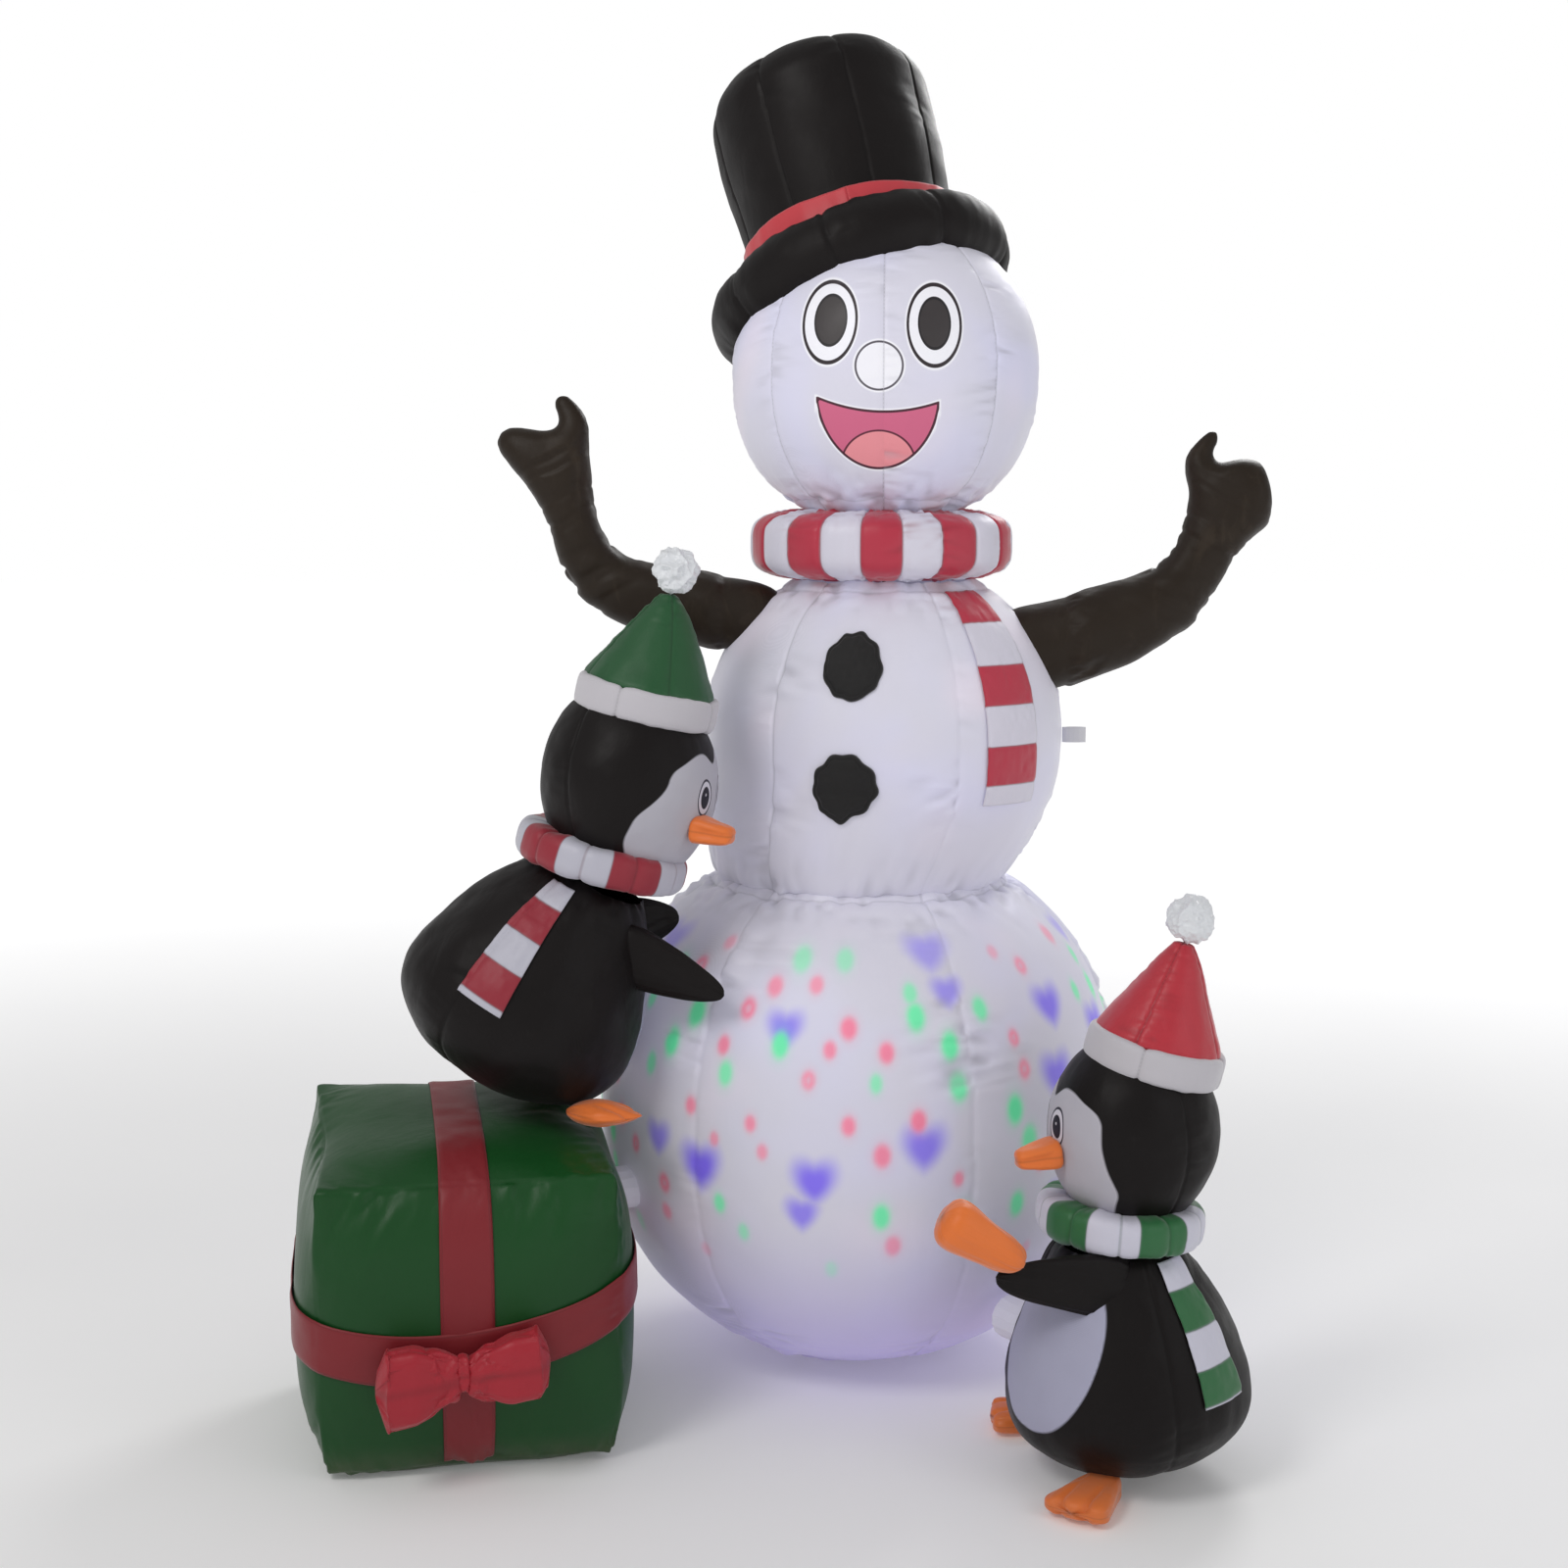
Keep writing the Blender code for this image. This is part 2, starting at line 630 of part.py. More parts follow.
def make_penguin_hat(bird):
    place = bird.hat_frame()
    radius = 0.68 * bird.head_radius
    roll(bird.name + "_hat_cuff", radius, 0.023, 1.15, ROLL_SEGMENTS, 5, "cuff white", place)
    top = 0.198
    profile = [(0.0, top), (0.022, top - 0.005), (0.062, 0.5 * top + 0.020), (radius - 0.004, 0.065),
               (radius - 0.001, 0.030)]
    smooth(turned(bird.name + "_hat_cone", profile, BIRD_SEGMENTS, bird.hat_colour, place, wall=CLOTH))
    pom = place @ Vector((0, 0, top + 0.0325))
    pillow(bird.name + "_pompom", "pompom silver",
           lambda co: co * 0.032, Matrix.Translation(pom), 12, 8)


def make_penguin_scarf(bird, ring, tail_turn, tail_from, tail_to):
    place = bird.scarf_frame()
    roll(bird.name + "_scarf_ring", ring, SCARF_TUBE, 1.0, ROLL_SEGMENTS, 5, bird.scarf_colour, place)

    def point(u, v, height):
        t = tail_to + (tail_from - tail_to) * v
        side = bird.front(tail_turn + (2 * u - 1) * 15 - 4 * v)
        return bird.on_body(side, t, 0.0012 + height)
    patch(bird.name + "_scarf_tail", bird.scarf_colour, point, 3, 7, 0.005)


def make_penguins():
    for bird in (SITTING, STANDING):
        make_penguin_body(bird)
        make_penguin_head(bird)
        make_penguin_hat(bird)
    make_penguin_beak(SITTING, -0.072)
    make_penguin_beak(STANDING, -0.026)
    make_penguin_scarf(SITTING, 0.118, -86, 0.90, 0.40)
    make_penguin_scarf(STANDING, 0.110, 126, 0.90, 0.34)
    make_penguin_flipper(SITTING, "_flipper_near", -26, 0.80, (0.90, -0.20, -0.38), 0.185)
    make_penguin_flipper(SITTING, "_flipper_far", 62, 0.84, (0.80, 0.30, 0.12), 0.080)
    make_penguin_flipper(STANDING, "_flipper_near", 56, 0.86, (-0.97, -0.22, 0.06), 0.185)
    make_penguin_flipper(STANDING, "_flipper_far", -62, 0.78, (-0.70, 0.55, -0.30), 0.130)
    make_penguin_feet(SITTING, {"_foot_near": (-0.412, -0.452, 0.548, -24),
                                "_foot_far": (-0.560, -0.118, 0.584, 40)})
    make_penguin_feet(STANDING, {"_foot_near": (0.342, -0.780, 0.0, 226),
                                 "_foot_far": (0.250, -0.440, 0.0, 176)})


def make_carrot():
    fat, thin = Vector((0.105, -0.790, 0.492)), Vector((0.236, -0.775, 0.408))
    length = (thin - fat).length

    def shape(co):
        reach = 0.5 * (1 + co.z)
        return Vector((co.x, co.y, 0)) * (0.046 - 0.025 * reach) + Vector((0, 0, reach * length))
    pillow("p2_carrot", "penguin orange", shape, aligned(fat, thin - fat), 12, 8)


# ---- air ducts, blower, lamp and lights ----
GIFT_DUCT = (Vector((-0.370, -0.205, 0.368)), Vector((-0.560, -0.310, 0.368)))
PENGUIN_DUCT = (Vector((0.240, -0.330, 0.170)), Vector((0.370, -0.520, 0.170)))


def make_ducts():
    """Short cloth tubes that carry air from the base ball to its neighbours."""
    for name, (start, end) in (("gift_duct", GIFT_DUCT), ("penguin_duct", PENGUIN_DUCT)):
        length = (end - start).length
        low, high = (0.008, length - 0.050) if name == "gift_duct" else (0.030, length - 0.010)
        profile = ((0.0385, high), (0.0385, low))
        smooth(turned(name, profile, 14, "white", aligned(start, end - start), wall=0.0015))


def lying(y):
    """A frame at the blower's axis whose Z points out of the back."""
    return Matrix.Translation((0, y, BLOWER_Z)) @ Matrix.Rotation(-math.pi / 2, 4, "X")


def make_blower():
    depth = BLOWER_BACK_Y - BLOWER_FRONT_Y
    place = lying(BLOWER_FRONT_Y)
    sleeve = ((BLOWER_RADIUS + 0.0080, 0.100), (BLOWER_RADIUS + 0.0085, 0.050),
              (BLOWER_RADIUS + 0.0080, -0.080))
    smooth(turned("blower_sleeve", sleeve, BLOWER_SEGMENTS, "white", place, wall=CLOTH))
    shell = ((BLOWER_RADIUS - 0.003, depth), (BLOWER_RADIUS, depth - 0.004), (BLOWER_RADIUS, 0.012),
             (BLOWER_RADIUS - 0.010, 0.0), (0.046, 0.0))
    smooth(turned("blower_housing", shell, BLOWER_SEGMENTS, "blower black", place, wall=0.0025))
    make_grille()
    make_motor()
    make_impeller()
    make_gland()


def box_bm(size, centre):
    bm = bmesh.new()
    made = bmesh.ops.create_cube(bm, size=1.0)
    bmesh.ops.scale(bm, vec=size, verts=made["verts"])
    bmesh.ops.translate(bm, vec=centre, verts=made["verts"])
    return bm


def make_grille():
    """The inlet guard: rings joined by spokes, set inside the housing's mouth."""
    place = lying(BLOWER_BACK_Y - 0.0045)
    thick = 0.003
    rings = []
    for i, (inner, outer) in enumerate(((0.0, 0.017), (0.030, 0.0340), (0.048, 0.0520), (0.0660, 0.0735))):
        ring = [(outer, thick), (outer, 0), (inner, 0), (inner, thick)]
        if inner == 0.0:
            ring = [(0, thick), (outer, thick), (outer, 0), (0, 0)]
        rings.append(turned("ring_%d" % i, ring, BLOWER_SEGMENTS, "blower black", place))
    spokes = []
    for i in range(6):
        bm = box_bm((0.058, 0.0030, 0.0022), (0.0410, 0, 0.0015))
        bmesh.ops.rotate(bm, matrix=Matrix.Rotation(math.radians(30 + 60 * i), 3, "Z"), verts=bm.verts)
        spokes.append(shaped("spoke_%d" % i, bm, "blower black", lambda co: co, place))
    grille = rings[0]
    for part in rings[1:]:
        bake(part)
    bake(grille)
    unite(grille, rings[1:] + spokes)
    grille.name = "blower_grille"
    grille.data.materials[0].name = "blower_grille"


def make_motor():
    """Motor can with its shaft, on struts that reach the housing's wall."""
    place = lying(BLOWER_FRONT_Y + 0.006)
    can = turned("blower_motor", ((0, 0.072), (0.0030, 0.072), (0.0030, 0.034), (0.020, 0.034),
                                  (0.0225, 0.031), (0.0225, 0.002), (0, 0.002)), 16, "steel", place)
    bake(can)
    struts = []
    for i in range(3):
        bm = box_bm((BLOWER_RADIUS - 0.0250, 0.006, 0.005),
                    ((BLOWER_RADIUS - 0.0029 + 0.0225) / 2 - 0.0012, 0, 0.016))
        bmesh.ops.rotate(bm, matrix=Matrix.Rotation(math.radians(90 + 120 * i), 3, "Z"), verts=bm.verts)
        struts.append(shaped("strut_%d" % i, bm, "steel", lambda co: co, place))
    unite(can, struts)


def make_impeller():
    """Hub, back plate and blades that turn on the motor's shaft."""
    place = lying(BLOWER_FRONT_Y + 0.046)
    plate = turned("blower_impeller", ((0.0034, 0.030), (0.012, 0.030), (0.014, 0.006),
                                       (IMPELLER_RADIUS, 0.003), (IMPELLER_RADIUS, 0.0),
                                       (0.0034, 0.0)), 16, "blower black", place)
    bake(plate)
    blades = []
    for i in range(IMPELLER_BLADES):
        bm = box_bm((IMPELLER_RADIUS - 0.012, 0.0022, 0.026), ((IMPELLER_RADIUS + 0.010) / 2, 0, 0.015))
        sweep = Matrix.Rotation(math.radians(-28), 3, "Z")
        centre = Vector(((IMPELLER_RADIUS + 0.010) / 2, 0, 0))
        bmesh.ops.rotate(bm, matrix=sweep, cent=centre, verts=bm.verts)
        turn = Matrix.Rotation(2 * math.pi * i / IMPELLER_BLADES, 3, "Z")
        bmesh.ops.rotate(bm, matrix=turn, verts=bm.verts)
        blades.append(shaped("blade_%d" % i, bm, "blower black", lambda co: co, place))
    unite(plate, blades)
    return plate


def make_gland():
    """The ring in the blower's rim where its supply lead comes out."""
    place = Matrix.Translation((0, BLOWER_BACK_Y + 0.0006, BLOWER_Z - BLOWER_RADIUS + 0.0065)) \
        @ Matrix.Rotation(-math.pi / 2, 4, "X")
    ring = ((0.0065, 0.016), (0.0075, 0.0), (0.0042, 0.0), (0.0042, 0.016))
    smooth(turned("cord_gland", ring, 14, "rubber", place))


def make_lamp():
    """The turning-pattern lamp on the floor of the base ball."""
    low = CLOTH + 0.001
    base = ((0, LAMP_DOME_Z - 0.002), (0.006, LAMP_DOME_Z - 0.002), (0.006, 0.030), (LAMP_RADIUS, 0.030),
            (LAMP_RADIUS + 0.004, low), (0, low))
    smooth(turned("lamp_base", base, 16, "blower black"))
    dome = [(0, LAMP_RADIUS), (0.6 * LAMP_RADIUS, 0.8 * LAMP_RADIUS), (0.93 * LAMP_RADIUS, 0.36 * LAMP_RADIUS),
            (LAMP_RADIUS, 0.0)]
    cap = turned("lamp_dome", dome, 12, "lens", Matrix.Translation((0, 0, LAMP_DOME_Z)), wall=0.002)
    return bake(cap)


def make_lights():
    """The LED harness up the middle of the figure, with a bulb in the torso and one in the head."""
    stops = ((0.0, 0.262, 0.150), (0.0, 0.200, 0.070), (0.0, 0.130, 0.026), (0.0, 0.085, 0.040),
             (0.0, 0.110, 0.200), (0.0, 0.090, 0.600), (0.010, 0.030, 0.900), (LEAN, 0.0, 1.130),
             (LEAN, 0.0, 1.400), (LEAN, 0.0, 1.760))
    line = bpy.data.curves.new("led_harness", "CURVE")
    line.dimensions = "3D"
    line.bevel_depth = 0.003
    line.bevel_resolution = 2
    line.resolution_u = 1
    line.render_resolution_u = 0
    line.use_fill_caps = True
    spline = line.splines.new("POLY")
    points = route(stops, 26)
    spline.points.add(len(points) - 1)
    for spot, point in zip(spline.points, points):
        spot.co = (*point, 1.0)
    harness = bpy.data.objects.new("led_harness", line)
    PARTS.objects.link(harness)
    line.materials.append(FINISHES["rubber"].copy())
    for name, z in (("led_torso", 1.160), ("led_head", 1.790)):
        bulb = [(0.0, 0.055), (0.010, 0.050), (0.016, 0.034), (0.014, 0.018), (0.010, 0.012),
                (0.011, 0.0), (0.0, 0.0)]
        smooth(turned(name, bulb, 12, "lens", Matrix.Translation((LEAN + 0.021, 0, z))))


# ---- deflation zip ----
def on_zip_arc(angle, lift):
    """A point on the back meridian of the base ball; the angle is up from its equator."""
    reach = ZIP_ARC_RADIUS + lift
    centre_y = BASE_RADIUS - ZIP_ARC_RADIUS
    return Vector((0, centre_y + reach * math.cos(angle), BASE_CENTRE_Z + reach * math.sin(angle)))


def make_zip():
    half_width = 0.014

    def tape(u, v, height):
        side = 2 * u - 1
        angle = ZIP_ARC_HALF * 1.04 * (2 * v - 1)
        p = on_zip_arc(angle, 0.0030 + height - 0.0006 * side * side)
        p.x = side * half_width
        return p
    patch("zip_tape", "webbing", tape, 2, 12, 0.0016)
    angle = ZIP_ARC_HALF
    frame = aligned(on_zip_arc(angle, 0.0085), on_zip_arc(angle, 1.0) - on_zip_arc(angle, 0.0),
                    Vector((1, 0, 0)))
    bm = box_bm((0.016, 0.011, 0.005), (0, 0, 0))
    bmesh.ops.bevel(bm, geom=bm.edges[:], offset=0.0012, segments=1, affect="EDGES")
    slider = shaped("zip_slider", bm, "zip metal", lambda co: co, frame)
    lug = box_bm((0.004, 0.004, 0.0035), (-0.002, 0, 0.0040))
    unite(slider, [shaped("lug", lug, "zip metal", lambda co: co, frame)])
    hang = frame @ Matrix.Translation((0, 0, 0.0045))
    bm = box_bm((0.030, 0.009, 0.0015), (-0.0210, 0, 0.0004))
    bmesh.ops.bevel(bm, geom=bm.edges[:], offset=0.0005, segments=1, affect="EDGES")
    shaped("zip_pull", bm, "zip metal", lambda co: co, hang)


# ---- build ----
clear_scene()
PARTS = new_collection("inflatable_snowman")
CUTTERS = new_collection("cutters")
FINISHES = {
    "white": finish("white cloth", (0.83, 0.82, 0.90)),
    "hat black": finish("black cloth", (0.018, 0.016, 0.017)),
    "band red": finish("band cloth", (0.55, 0.06, 0.08)),
    "scarf red": finish("red striped cloth", (0.52, 0.05, 0.08)),
    "scarf green": finish("green striped cloth", (0.04, 0.16, 0.06)),
    "hat green": finish("green cloth", (0.03, 0.10, 0.03)),
    "hat red": finish("red cloth", (0.48, 0.04, 0.06)),
    "stick brown": finish("brown cloth", (0.045, 0.030, 0.022)),
    "button black": finish("button cloth", (0.010, 0.009, 0.009)),
    "webbing": finish("white webbing", (0.78, 0.78, 0.80), 0.8),
    "gift green": finish("gift cloth", (0.015, 0.065, 0.020), 0.6),
    "ribbon red": finish("ribbon cloth", (0.16, 0.014, 0.018), 0.6),
    "bow red": finish("bow cloth", (0.42, 0.025, 0.040), 0.6),
    "penguin black": finish("penguin cloth", (0.014, 0.012, 0.013), 0.6),
    "penguin orange": finish("orange cloth", (0.75, 0.20, 0.04)),
    "cuff white": finish("cuff cloth", (0.62, 0.60, 0.64), 0.8),
    "pompom silver": finish("silver tinsel", (0.60, 0.61, 0.62), 0.4, 0.3),
    "blower black": finish("black plastic", (0.020, 0.020, 0.022), 0.45),
    "steel": finish("motor steel", (0.50, 0.50, 0.52), 0.35, 1.0),
    "rubber": finish("black rubber", (0.020, 0.020, 0.020), 0.8),
    "lens": finish("clear plastic", (0.80, 0.84, 0.88), 0.15),
    "zip metal": finish("zip metal", (0.62, 0.62, 0.64), 0.3, 1.0),
}
make_base_ball()
make_torso()
make_collar()
make_head()
make_hat()
make_arm("arm_left", ARM_LEFT)
make_arm("arm_right", ARM_RIGHT)
make_button("button_upper", math.radians(-12.5), 1.313, 0.058)
make_button("button_lower", math.radians(-14.0), 1.106, 0.058)
make_scarf_tail()
make_tab("tether_tab_right", math.radians(90), 1.165)
make_gift()
make_ribbons()
make_bow()
make_penguins()
make_carrot()
make_ducts()
make_blower()
make_lamp()
make_lights()
make_zip()
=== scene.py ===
"""Looks of the inflatable yard snowman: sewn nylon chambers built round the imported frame.

Metres, +Z up, in the frame of the CAD. Azimuths of the snowman's chambers are measured from the
front (-Y) towards the viewer's right (+X).
"""
import math

import bmesh
import bpy
import numpy as np
from mathutils import Matrix, Vector


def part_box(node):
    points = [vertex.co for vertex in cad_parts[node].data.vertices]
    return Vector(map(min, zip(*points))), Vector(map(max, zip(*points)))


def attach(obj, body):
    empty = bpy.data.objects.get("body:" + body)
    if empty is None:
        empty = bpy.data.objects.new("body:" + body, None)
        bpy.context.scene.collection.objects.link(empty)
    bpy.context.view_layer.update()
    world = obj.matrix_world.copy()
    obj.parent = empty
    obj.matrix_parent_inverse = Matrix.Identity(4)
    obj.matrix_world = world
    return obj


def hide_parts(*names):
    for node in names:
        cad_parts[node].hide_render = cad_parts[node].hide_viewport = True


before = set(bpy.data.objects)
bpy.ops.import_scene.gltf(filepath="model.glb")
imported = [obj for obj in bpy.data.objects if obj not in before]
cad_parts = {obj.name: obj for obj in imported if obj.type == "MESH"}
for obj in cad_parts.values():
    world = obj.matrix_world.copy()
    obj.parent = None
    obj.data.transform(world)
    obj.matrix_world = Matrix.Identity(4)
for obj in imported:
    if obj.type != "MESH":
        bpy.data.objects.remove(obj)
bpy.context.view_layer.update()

# ---- the CAD's own dimensions ----
BASE_RADIUS = 0.487
BLOWER_AXIS = (0.0, 0.128)
BASE_CENTRE_Z = 0.479
WAIST_Z = 0.900
TORSO_RADIUS = 0.333
TORSO_CENTRE_Z = 1.173
TORSO_REACH_DOWN = 0.48
NECK_Z = 1.443
COLLAR_RADIUS = 0.242
COLLAR_HEIGHT = 0.152
HEAD_RADIUS = 0.282
HEAD_CENTRE_Z = 1.831
LEAN = 0.045
HAT_LEAN_LEFT = math.radians(13.5)
HAT_LEAN_BACK = math.radians(19.0)
HAT_RISE = 0.150
BRIM_RING = 0.238
BRIM_TUBE = 0.046
BRIM_DROOP = math.radians(5.0)
CROWN_RADIUS = 0.197
CROWN_HEIGHT = 0.464
GIFT_CENTRE = (-0.702, -0.388, 0.264)
GIFT_HALF = 0.283
GIFT_YAW = math.radians(11.0)
GIFT_POWER = 4.8
GIFT_RISE = 0.11
GIFT_EAR = 0.46
RIBBON_WIDTH = 0.086
SCARF_TUBE = 0.034
TUCK = 0.014             # how far a chamber's cloth runs on inside its neighbour's seam


# ---- noise ----
def hashed(x, y, z):
    value = np.sin(x * 127.1 + y * 311.7 + z * 74.7) * 43758.5453
    return value - np.floor(value)


def noise(x, y=0.0, z=0.0):
    """Smooth value noise from 0 to 1."""
    x, y, z = np.broadcast_arrays(np.asarray(x, float), np.asarray(y, float), np.asarray(z, float))
    low = [np.floor(part) for part in (x, y, z)]
    part = [value - base for value, base in zip((x, y, z), low)]
    a, b, c = [value * value * (3 - 2 * value) for value in part]
    total = np.zeros(x.shape)
    for i in (0, 1):
        for j in (0, 1):
            for k in (0, 1):
                weight = (a if i else 1 - a) * (b if j else 1 - b) * (c if k else 1 - c)
                total += weight * hashed(low[0] + i, low[1] + j, low[2] + k)
    return total


def smooth_step(low, high, value):
    t = np.clip((value - low) / (high - low), 0.0, 1.0)
    return t * t * (3 - 2 * t)


def puff(radius, half_height, power, rise):
    level = np.minimum(1.0, np.abs(rise / half_height))
    return radius * (1.0 - level ** power) ** (1.0 / power)


def wrapped(angle):
    return (angle + math.pi) % (2 * math.pi) - math.pi


def moved(points, place):
    """Points of shape (..., 3) after a 4x4 matrix."""
    turn = np.array(place.to_3x3())
    return points @ turn.T + np.array(place.translation)


# ---- meshes ----
def link(name, mesh, material):
    made = bpy.data.objects.new(name, mesh)
    bpy.context.scene.collection.objects.link(made)
    for item in material if isinstance(material, (list, tuple)) else [material]:
        mesh.materials.append(item)
    mesh.shade_smooth()
    return made


def add_field(mesh, name, values):
    field = mesh.attributes.new(name, "FLOAT", "POINT")
    field.data.foreach_set("value", np.asarray(values, np.float32).ravel())


def grid(name, points, material, wrap=False, low_cap=False, high_cap=False, fields=None, flip=False):
    """A mesh over a grid of points (rows, columns, 3), closed round its columns with wrap."""
    rows, columns = points.shape[:2]
    index = np.arange(rows * columns).reshape(rows, columns)
    last = columns if wrap else columns - 1
    right = np.roll(index, -1, axis=1)
    quads = np.stack([index[:-1, :last], right[:-1, :last], right[1:, :last], index[1:, :last]], axis=-1)
    faces = quads.reshape(-1, 4).tolist()
    verts = points.reshape(-1, 3).tolist()
    extra = []
    for wanted, row in ((low_cap, 0), (high_cap, rows - 1)):
        if wanted:
            hub = len(verts)
            verts.append(points[row].mean(axis=0).tolist())
            extra.append(row)
            for k in range(last):
                pair = [int(index[row, k]), int(right[row, k])]
                faces.append([hub] + (pair[::-1] if row == 0 else pair))
    if flip:
        faces = [face[::-1] for face in faces]
    mesh = bpy.data.meshes.new(name)
    mesh.from_pydata(verts, [], faces)
    for key, values in (fields or {}).items():
        values = np.broadcast_to(values, (rows, columns))
        tail = [values[row].mean() for row in extra]
        add_field(mesh, key, np.concatenate([values.ravel(), tail]))
    return link(name, mesh, material)


def place_piece(piece, nodes):
    """Rides on the root body and hides the CAD nodes it replaces."""
    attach(piece, "root")
    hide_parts(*nodes)
    return piece


def back_side(piece, wall=0.0012):
    """Gives an open cloth its thickness."""
    shell = piece.modifiers.new("Cloth", "SOLIDIFY")
    shell.thickness = wall
    shell.offset = -1.0
    return piece


class Chamber:
    """A turned cloth chamber: its profile, its sewn gores and the wrinkles round them."""

    def __init__(self, profile, rows, seams=(), seed=0.0, **look):
        line = np.array(profile, float)
        along = np.concatenate([[0], np.cumsum(np.hypot(*np.diff(line, axis=0).T))])
        self.s = np.linspace(0, along[-1], rows)
        self.r = np.interp(self.s, along, line[:, 0])
        self.z = np.interp(self.s, along, line[:, 1])
        slope_r, slope_z = np.gradient(self.r, self.s), np.gradient(self.z, self.s)
        size = np.hypot(slope_r, slope_z)
        self.nr, self.nz = slope_z / size, -slope_r / size
        self.seams, self.seed = seams, seed
        self.look = {"groove": 0.0016, "sag": 0.0035, "pucker": 0.0055, "reach": 0.045, "pitch": 0.011,
                     "waves": 0.0035, "wave_size": 0.11, "low": 0.0, "high": 0.0, "fold": 0.016,
                     "end_pull": 0.0035, "thread": 0.0020, "low_z": self.z[0], "high_z": self.z[-1]}
        self.look.update(look)
        self.ends = [float(np.interp(self.look[key], self.z, self.s)) if key in look else default
                     for key, default in (("low_z", self.s[0]), ("high_z", self.s[-1]))]
        self.axis = look.get("axis", lambda z: 0.0 * z)

    def relief(self, theta, s, r, z):
        """How far the cloth stands off its profile, how near a seam is (1 on it), and its creases."""
        look = self.look
        total = np.zeros(np.broadcast(theta, s).shape)
        seam, crease = total.copy(), total.copy()
        across, ahead = np.sin(theta) * r, np.cos(theta) * r
        for k, angle in enumerate(self.seams):
            off = wrapped(theta - angle) * r
            near = np.abs(off)
            side = np.where(off > 0, 1.0, 2.0)
            patchy = noise(s / 0.085 + 11.3 * k, side * 5.1, self.seed)
            patchy = np.clip((patchy - 0.30) * 2.2, 0.08, 1.0)
            ridge = noise((s + 0.18 * near) / look["pitch"], side * 3.7 + 7.9 * k + near / 0.05,
                          self.seed + 4.5)
            fine = noise((s - 0.1 * near) / (0.45 * look["pitch"]), side * 2.3 + 5.9 * k, self.seed + 8.5)
            reach = look["reach"] * (0.55 + 0.9 * patchy)
            shape = np.exp(-(near / reach) ** 1.5)
            pull = patchy * (0.75 * (ridge - 0.5) + 0.25 * (fine - 0.5)) * shape
            total += look["pucker"] * pull
            crease += pull
            total -= look["groove"] * np.exp(-(near / 0.0035) ** 2) + look["sag"] * np.exp(-near / 0.05)
            seam = np.maximum(seam, np.exp(-(near / look["thread"]) ** 2))
        for k, amount in enumerate((look["low"], look["high"])):
            if amount:
                gap = np.abs(s - self.ends[k])
                fold = noise(across / look["fold"], ahead / look["fold"], self.seed + 20.0 + k + gap / 0.25)
                pull = (fold - 0.5) * np.exp(-gap / 0.045)
                total += amount * (pull - 0.25 * np.exp(-gap / 0.045))
                total -= look["end_pull"] * np.exp(-gap / 0.008)
                crease += 0.8 * pull
                # The seam line round each end is a stitched seam; the material darkens it, which is also
                # painted shade for the crease where chambers meet.
                seam = np.maximum(seam, 0.8 * np.exp(-(gap / 0.0035) ** 2))
        size = look["wave_size"]
        total += look["waves"] * (noise(across / size, ahead / size, z / size + self.seed) - 0.5)
        total += 0.3 * look["waves"] * (noise(across * 2.7 / size, ahead * 2.7 / size, z * 2.7 / size) - 0.5)
        return total, seam, crease

    def at(self, theta, z, lift=0.0):
        """Points on the cloth at azimuths and heights."""
        s = np.interp(z, self.z, self.s)
        r = np.interp(z, self.z, self.r)
        nr, nz = np.interp(z, self.z, self.nr), np.interp(z, self.z, self.nz)
        out = self.relief(theta, s, r, z)[0] + lift
        reach = r + nr * out
        return np.stack([self.axis(z) + reach * np.sin(theta), -reach * np.cos(theta), z + nz * out],
                        axis=-1)

    def build(self, columns, start=0.0):
        """(points, azimuth, along, seam, radius) of the whole chamber as a closed grid."""
        theta = start + np.arange(columns) * 2 * math.pi / columns
        theta, s = np.meshgrid(theta, self.s)
        r = np.broadcast_to(self.r[:, None], theta.shape)
        z = np.broadcast_to(self.z[:, None], theta.shape)
        out, seam, self.crease = self.relief(theta, s, r, z)
        reach = r + self.nr[:, None] * out
        points = np.stack([self.axis(z) + reach * np.sin(theta), -reach * np.cos(theta),
                           z + self.nz[:, None] * out], axis=-1)
        return points, theta, s, seam, r


